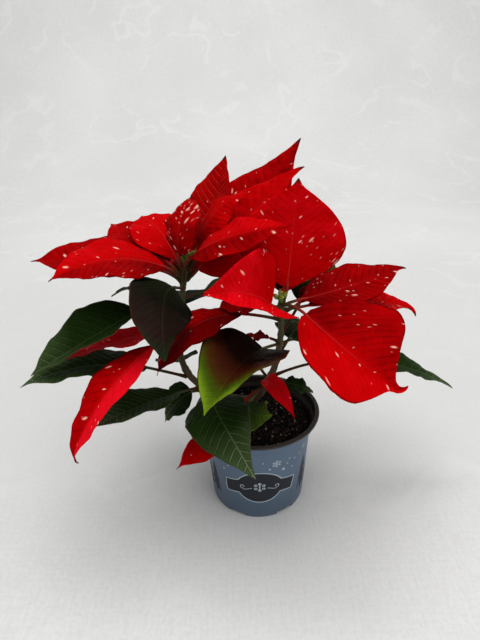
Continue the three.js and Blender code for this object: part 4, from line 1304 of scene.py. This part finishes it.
def soil_mesh(pot, soil):
    """The soil's body: an uneven top, a sloping side and a flat bottom."""
    top, bottom = pot.height - soil.drop, (FLOOR_THICK + SOIL_GAP) * MM
    low, high = (radius - pot.wall - SOIL_GAP * MM for radius in (pot.foot_radius, pot.neck_radius))
    rings, sectors = 14, 72
    random = lehmer(soil.seed)
    turns = [j * math.tau / sectors for j in range(sectors)]
    points = [(0, 0, top)]
    for i in range(1, rings + 1):
        radius = high * i / rings
        for a in turns:
            heap = HEAP * math.sin(WAVES_ROUND * a + i * 0.5) * math.sin(radius * WAVES_OUT)
            heap += UNEVEN * (next(random) - 0.5)
            points.append((radius * math.cos(a), radius * math.sin(a), top + heap * MM))
    last = len(points) - sectors
    points += [(low * math.cos(a), low * math.sin(a), bottom) for a in turns]
    points.append((0, 0, bottom))
    steps = [(j, (j + 1) % sectors) for j in range(sectors)]
    faces = [(0, 1 + j, 1 + k) for j, k in steps]
    for near in range(1, last + 1, sectors):
        far = near + sectors
        faces += [(near + j, far + j, far + k, near + k) for j, k in steps]
    faces += [(last + sectors + k, last + sectors + j, len(points) - 1) for j, k in steps]
    return mesh_from("soil_body", points, (), faces)


def crumb_growth():
    """Scatters crumbs of uneven size over the top of the soil, with or without the soil itself."""
    g = Growth("Crumbs", Float=("Density", "Size"), Int=("Seed",), Bool=("Keep soil",))

    def random(low, high, seed):
        values = {"Min": low, "Max": high, "Seed": seed}
        return g.start.node("FunctionNodeRandomValue", {"data_type": "FLOAT_VECTOR"}, values)

    points = g.make(
        "DistributePointsOnFaces", Mesh=g["Geometry"], Selection=g.make("InputNormal").parts()[2].above(0.5),
        Density=g["Density"], Seed=g["Seed"],
    )
    crumb = g.make("MeshIcoSphere", Radius=0.5, Subdivisions=1)
    turn = random((0, 0, 0), (6.3, 6.3, 6.3), 3)
    size = random((0.25, 0.3, 0.3), (1.7, 1.3, 1.1), 5).times(g["Size"])
    kept = g.make("Switch", {"input_type": "GEOMETRY"}, Switch=g["Keep soil"], **{"True": g["Geometry"]})
    return g.finish(g.join(g.instance(points, crumb, turn, size), kept))


def cup_mesh(flower):
    """A flower cup: a ribbed green bowl with a yellow gland on its side and threads in its mouth."""
    profile = [(0, 0), (0.5, 0.0), (0.72, 0.08), (0.95, 0.24), (1, 0.42), (0.97, 0.62), (0.82, 0.8),
               (0.62, 0.9), (0.5, 0.88), (0.4, 0.74), (0, 0.7)]
    r, h = flower.cup, flower.tall
    bm = bmesh.new()
    bm.from_mesh(turned("cup", [(across * r, up * h, 0) for across, up in profile], 16))
    zone = bm.verts.layers.float["zone"]
    for vert in bm.verts:
        if vert.co.z < h * 0.8:
            vert.co.xy *= 1 + 0.06 * math.cos(5 * math.atan2(vert.co.y, vert.co.x))

    def blob(place, size, share, level=1):
        for vert in bmesh.ops.create_icosphere(bm, subdivisions=level, radius=1)["verts"]:
            vert.co = Vector([c * k for c, k in zip(vert.co, size)]) + Vector(place)
            vert[zone] = share

    gland, thread = 1, 2
    blob((r * 0.86, 0, h * 0.66), (r * 0.36, r * 0.52, h * 0.10), gland, 2)
    for k in range(7):
        a = k * 2.4
        lean = r * (0.18 + 0.05 * k)
        x, y, z = lean * math.cos(a), lean * math.sin(a), h * (0.92 + 0.03 * (k % 3))
        blob((x, y, z), (r * 0.07, r * 0.07, h * 0.16), thread)
        blob((x, y, z + h * 0.15), (r * 0.13, r * 0.11, r * 0.11), gland if k % 2 else thread)
    for face in bm.faces:
        face.smooth = True
    return mesh_of("cup", bm)


def head_mesh(name, shoot, cups, reach, seed):
    """Lines from a bloom's knot to each of its cups."""
    random = lehmer(seed)

    def between(low, high):
        return low + (high - low) * next(random)

    along = shoot.along(1)
    knot = shoot.at(1) + along * KNOT_RISE * MM
    points, tips, aims, sizes = [], [], [], []
    for i in range(cups):
        turn = i / (cups - 1) * math.tau
        lean = math.radians(CUP_LEAN * between(0.7, 1.1)) if i else 0
        outward = Vector((math.cos(turn), math.sin(turn), 0))
        out = (along * math.cos(lean) + outward * math.sin(lean)).normalized()
        points += [knot, knot + out * (reach * between(0.75, 1.15) * MM - CUP_OVERLAP * MM)]
        tips += [0.0, 1.0]
        aims += [out, out]
        sizes += [between(0.8, 1.1)] * 2
    edges = [(k, k + 1) for k in range(0, len(points), 2)]
    return mesh_from(name, points, edges, (), tip=tips, aim=aims, size=sizes)


def head_growth():
    """Puts a stalk on each line, a cup at its far end and a knot at its near end."""
    g = Growth("Flower head", Object=("Cup",), Float=("Stalk",))
    stalks = g.tube(g.line(), g["Stalk"], 9)
    cup = g.make("ObjectInfo", out="Geometry", Object=g["Cup"])
    size = g.attribute("size")
    at_tip = g.attribute("tip").above(0.5)
    aimed = g.facing(g.attribute("aim", "FLOAT_VECTOR"), "Z")
    cups = g.instance(g["Geometry"], cup, aimed, size.vector(size, size, size), at_tip)
    knot = g.make("MeshIcoSphere", Radius=KNOT_RADIUS * MM, Subdivisions=3)
    knots = g.instance(g["Geometry"], knot, selection=1.0 - at_tip)
    return g.finish(g.join(stalks, cups, knots))


# Stage

# The camera's place, and how far it looks down and is tipped, in degrees.
CAMERA_PLACE, LOOKS_DOWN, TIPPED = (-0.012, -0.336, 0.328), 25.6, -1.7
# Each lamp: its name, place, what it shines at, its width, the power it takes and its share of that.
LAMPS = (
    ("key_light", (-0.05, -0.25, 2.6), (0, 0, 0.1), 2.8, "key_power", 1),
    ("fill_light", (0.9, -1.1, 1.0), (0, 0, 0.15), 1.2, "fill_power", 1),
    ("backdrop_light", (0, 0.7, 2.5), (0, 2.0, 0.9), 1.2, "key_power", 0.4),
)
# The floor's nearest edge, half width, bend and height behind, and where it starts to bend up.
FLOOR_FRONT, FLOOR_HALF, FLOOR_BEND, FLOOR_TOP, FLOOR_BACK = -2.2, 3.0, 0.9, 3.2, 1.1
BEND_STEPS = 12
ROOM_COLOUR = (0.93, 0.96, 1.0, 1)


def lay_floor(stage):
    """A floor that curves up into a backdrop."""
    path = [(FLOOR_FRONT, 0.0), (FLOOR_BACK, 0.0)]
    for k in range(1, BEND_STEPS + 1):
        turn = k * math.pi / (2 * BEND_STEPS)
        path.append((FLOOR_BACK + FLOOR_BEND * math.sin(turn), FLOOR_BEND * (1 - math.cos(turn))))
    path.append((FLOOR_BACK + FLOOR_BEND, FLOOR_TOP))
    points = [(x, y, z) for y, z in path for x in (-FLOOR_HALF, 0.0, FLOOR_HALF)]
    mesh = mesh_from("floor", points, (), grid_faces(len(path), 3))
    mesh.shade_smooth()
    new_object("floor", mesh, floor_finish(stage))


def hang_lamp(name, place, target, size, power):
    lamp = bpy.data.lights.new(name, "AREA")
    lamp.shape, lamp.size, lamp.energy = "DISK", size, power
    holder = new_object(name, lamp)
    holder.location = place
    holder.rotation_euler = (Vector(target) - Vector(place)).to_track_quat("-Z", "Y").to_euler()


def set_camera(stage):
    """A camera in front, above the plant, that looks down and is tipped a little."""
    down, tip = math.radians(LOOKS_DOWN), math.radians(TIPPED)
    level, upright = Vector((1, 0, 0)), Vector((0, math.sin(down), math.cos(down)))
    right = level * math.cos(tip) + upright * math.sin(tip)
    up = upright * math.cos(tip) - level * math.sin(tip)
    lens = bpy.data.cameras.new("camera")
    lens.sensor_fit, lens.sensor_height, lens.lens = "VERTICAL", 36, stage.lens
    camera = new_object("camera", lens)
    turn = Matrix((right, up, right.cross(up))).transposed().to_4x4()
    camera.matrix_world = Matrix.Translation(CAMERA_PLACE) @ turn
    bpy.context.scene.camera = camera


# Operators


class POINSETTIA_OT_pot(bpy.types.Operator):
    """Moulds the pot and cuts its drain holes"""

    bl_idname = "poinsettia.pot"
    bl_label = "Pot"

    def execute(self, context):
        pot = context.scene.poinsettia.pot
        piece = drain_growth().grow("pot_moulded", pot_mesh(pot), {
            "Holes": pot.holes, "Notches": pot.notches, "Foot": pot.foot_radius, "Material": pot_finish(pot),
        })
        piece.data.set_sharp_from_angle(angle=math.radians(40))
        tie_in(piece, "pot")
        return {"FINISHED"}


class POINSETTIA_OT_print(bpy.types.Operator):
    """Prints the plaque, snowflakes, dots and trees on the pot's wall"""

    bl_idname = "poinsettia.print"
    bl_label = "Print"

    def execute(self, context):
        pot, settings = context.scene.poinsettia.pot, context.scene.poinsettia.print
        flare = (pot.neck_radius - pot.foot_radius) / (pot.height - pot.neck_drop)
        wall = {"Foot": pot.foot_radius, "Flare": flare, "Proud": settings.proud}
        dark = {**wall, "Material": ink_finish("dark_ink", settings.ink, 0.45)}
        pale = {**wall, "Material": ink_finish("pale_ink", settings.chalk, 0.5)}
        flat, motifs = wrap_growth(), motif_growth()
        width = settings.plaque_width / MM
        pieces = [flat.grow("print_plaque", plaque_mesh(width), dark)]
        for name, path, band, closed in (
            ("print_outline", plaque_outline(width), settings.outline, True),
            ("print_curl_left", curl(-1), settings.curl, False),
            ("print_curl_right", curl(1), settings.curl, False),
        ):
            pieces.append(flat.grow(name, band_mesh(name, path, band, closed), pale))
        flakes, dots, trees = sky_round_the_back(settings.seed)
        for name, motif, arms, spots, values in (
            ("print_snowflakes", flake_arm(), 6, FRONT_FLAKES + flakes + [PLAQUE_FLAKE], pale),
            ("print_dots", dot_mesh(), 1, FRONT_DOTS + dots, pale),
            ("print_trees", conifer_mesh(), 1, FRONT_TREES + trees, dark),
        ):
            shape = new_object(name + "_motif", motif)
            places = [(x * MM, y * MM, MOTIF_LIFT) for x, y, _ in spots]
            points = mesh_from(name, places, size=[size * MM for *_, size in spots])
            pieces.append(motifs.grow(name, points, {**values, "Motif": shape, "Arms": arms}))
            bpy.data.objects.remove(shape)
        for piece in pieces:
            tie_in(piece, None)
        return {"FINISHED"}


class POINSETTIA_OT_soil(bpy.types.Operator):
    """Fills the pot with soil and scatters crumbs and pale flecks over it"""

    bl_idname = "poinsettia.soil"
    bl_label = "Soil"

    def execute(self, context):
        settings = context.scene.poinsettia.soil
        body = soil_mesh(context.scene.poinsettia.pot, settings)
        spare = body.copy()
        growth = crumb_growth()
        peat = soil_finish("peat", tint(settings.peat, 0.35), tint(settings.peat, 4.5), 0.6)
        mineral = soil_finish("mineral_fleck", tint(settings.fleck, 0.6), tint(settings.fleck, 1.5), 0.5)
        piece = growth.grow("soil_crumbled", body, {
            "Density": float(settings.crumbs), "Size": settings.crumb, "Seed": settings.seed,
            "Keep soil": True, "Material": peat,
        })
        tie_in(piece, "soil")
        pale = growth.grow("soil_flecks", spare, {
            "Density": float(settings.flecks), "Size": settings.crumb * 0.75, "Seed": settings.seed + 1,
            "Keep soil": False, "Material": mineral,
        })
        tie_in(pale, None)
        return {"FINISHED"}


class POINSETTIA_OT_stem(bpy.types.Operator):
    """Grows the trunk and its three shoots"""

    bl_idname = "poinsettia.stem"
    bl_label = "Stem"

    def execute(self, context):
        settings = context.scene.poinsettia.stem
        points, edges, radii = [], [], []

        def line(spots, thickness):
            edges.extend((len(points) + i, len(points) + i + 1) for i in range(len(spots) - 1))
            points.extend(spots)
            radii.extend(thickness)

        hub = Vector(SHOOTS["a"][0]) * MM
        bottom = POT_TOP.z - TRUNK_FOOT * MM
        steps = [i / TRUNK_STEPS for i in range(TRUNK_STEPS + 1)]
        rise = hub.z + TRUNK_OVERLAP * MM - bottom
        line([Vector((hub.x, hub.y, bottom + rise * t)) for t in steps],
             [settings.trunk * (1 - TRUNK_TAPER * t ** 2) for t in steps])
        for key, corners in SHOOTS.items():
            shoot = Shoot(corners)
            joints = [shoot.length - blade.down * MM for blade in FOLIAGE if blade.shoot == key]
            last = int(shoot.length / (SHOOT_STEP * MM))
            steps = [i / last for i in range(last + 1)]
            thickness = []
            for u in steps:
                near = min(abs(joint - u * shoot.length) for joint in joints) / (KNUCKLE_LENGTH * MM)
                thickness.append(shoot_radius(settings, u) * (1 + settings.knuckle * math.exp(-near * near)))
            line([shoot.at(u) for u in steps], thickness)
        mesh = mesh_from("stem_lines", points, edges, (), radius=radii)
        values = {"Sides": settings.sides, "Material": stem_finish(settings)}
        piece = tube_growth().grow("stem_grown", mesh, values)
        tie_in(piece, "stem")
        return {"FINISHED"}


class POINSETTIA_OT_bracts(bpy.types.Operator):
    """Grows the red bracts"""

    bl_idname = "poinsettia.bracts"
    bl_label = "Bracts"

    def execute(self, context):
        grow_blades(context, "bract")
        return {"FINISHED"}


class POINSETTIA_OT_leaves(bpy.types.Operator):
    """Grows the green leaves"""

    bl_idname = "poinsettia.leaves"
    bl_label = "Leaves"

    def execute(self, context):
        grow_blades(context, "leaf")
        return {"FINISHED"}


class POINSETTIA_OT_flowers(bpy.types.Operator):
    """Grows the small flowers in the middle of each bloom"""

    bl_idname = "poinsettia.flowers"
    bl_label = "Flowers"

    def execute(self, context):
        settings = context.scene.poinsettia.flower
        cup = new_object("cup", cup_mesh(settings))
        values = {"Cup": cup, "Stalk": settings.stalk, "Material": flower_finish(settings)}
        growth = head_growth()
        for name, key, cups, reach, seed in FLOWER_HEADS:
            lines = head_mesh(name + "_lines", Shoot(SHOOTS[key]), cups, reach, seed)
            tie_in(growth.grow(name + "_grown", lines, values), name)
        bpy.data.objects.remove(cup)
        return {"FINISHED"}


class POINSETTIA_OT_stage(bpy.types.Operator):
    """Lays the floor and sets the lights and the camera"""

    bl_idname = "poinsettia.stage"
    bl_label = "Stage"

    def execute(self, context):
        stage = context.scene.poinsettia.stage
        lay_floor(stage)
        for name, place, target, size, power, part in LAMPS:
            hang_lamp(name, place, target, size, getattr(stage, power) * part)
        world = bpy.data.worlds.new("room")
        world.use_nodes = True
        room = world.node_tree.nodes["Background"]
        room.inputs["Color"].default_value = ROOM_COLOUR
        room.inputs["Strength"].default_value = stage.sky
        context.scene.world = world
        context.scene.view_settings.view_transform = "Standard"
        set_camera(stage)
        return {"FINISHED"}


PIECES = (
    POINSETTIA_OT_pot, POINSETTIA_OT_print, POINSETTIA_OT_soil, POINSETTIA_OT_stem, POINSETTIA_OT_bracts,
    POINSETTIA_OT_leaves, POINSETTIA_OT_flowers, POINSETTIA_OT_stage,
)


class POINSETTIA_PT_panel(bpy.types.Panel):
    """Lists the pieces and their sizes"""

    bl_label = "Poinsettia"
    bl_idname = "POINSETTIA_PT_panel"
    bl_space_type = "VIEW_3D"
    bl_region_type = "UI"
    bl_category = "Poinsettia"

    def draw(self, context):
        settings = context.scene.poinsettia
        for operator in PIECES:
            self.layout.operator(operator.bl_idname)
        for key in settings.__annotations__:
            box = self.layout.box()
            box.label(text=key.capitalize())
            group = getattr(settings, key)
            for name in group.__annotations__:
                box.prop(group, name)


GROUPS = (
    PotSettings, PrintSettings, SoilSettings, StemSettings, BladeSettings, FlowerSettings, StageSettings,
    PoinsettiaSettings,
)


def register():
    for item in (*GROUPS, *PIECES, POINSETTIA_PT_panel):
        bpy.utils.register_class(item)
    bpy.types.Scene.poinsettia = bpy.props.PointerProperty(type=PoinsettiaSettings)


def unregister():
    del bpy.types.Scene.poinsettia
    for item in reversed((*GROUPS, *PIECES, POINSETTIA_PT_panel)):
        bpy.utils.unregister_class(item)


def main():
    register()
    bpy.ops.poinsettia.stage()
    bpy.ops.poinsettia.pot()
    bpy.ops.poinsettia.print()
    bpy.ops.poinsettia.soil()
    bpy.ops.poinsettia.stem()
    bpy.ops.poinsettia.bracts()
    bpy.ops.poinsettia.leaves()
    bpy.ops.poinsettia.flowers()
    bpy.context.view_layer.update()


if __name__ == "__main__":
    main()
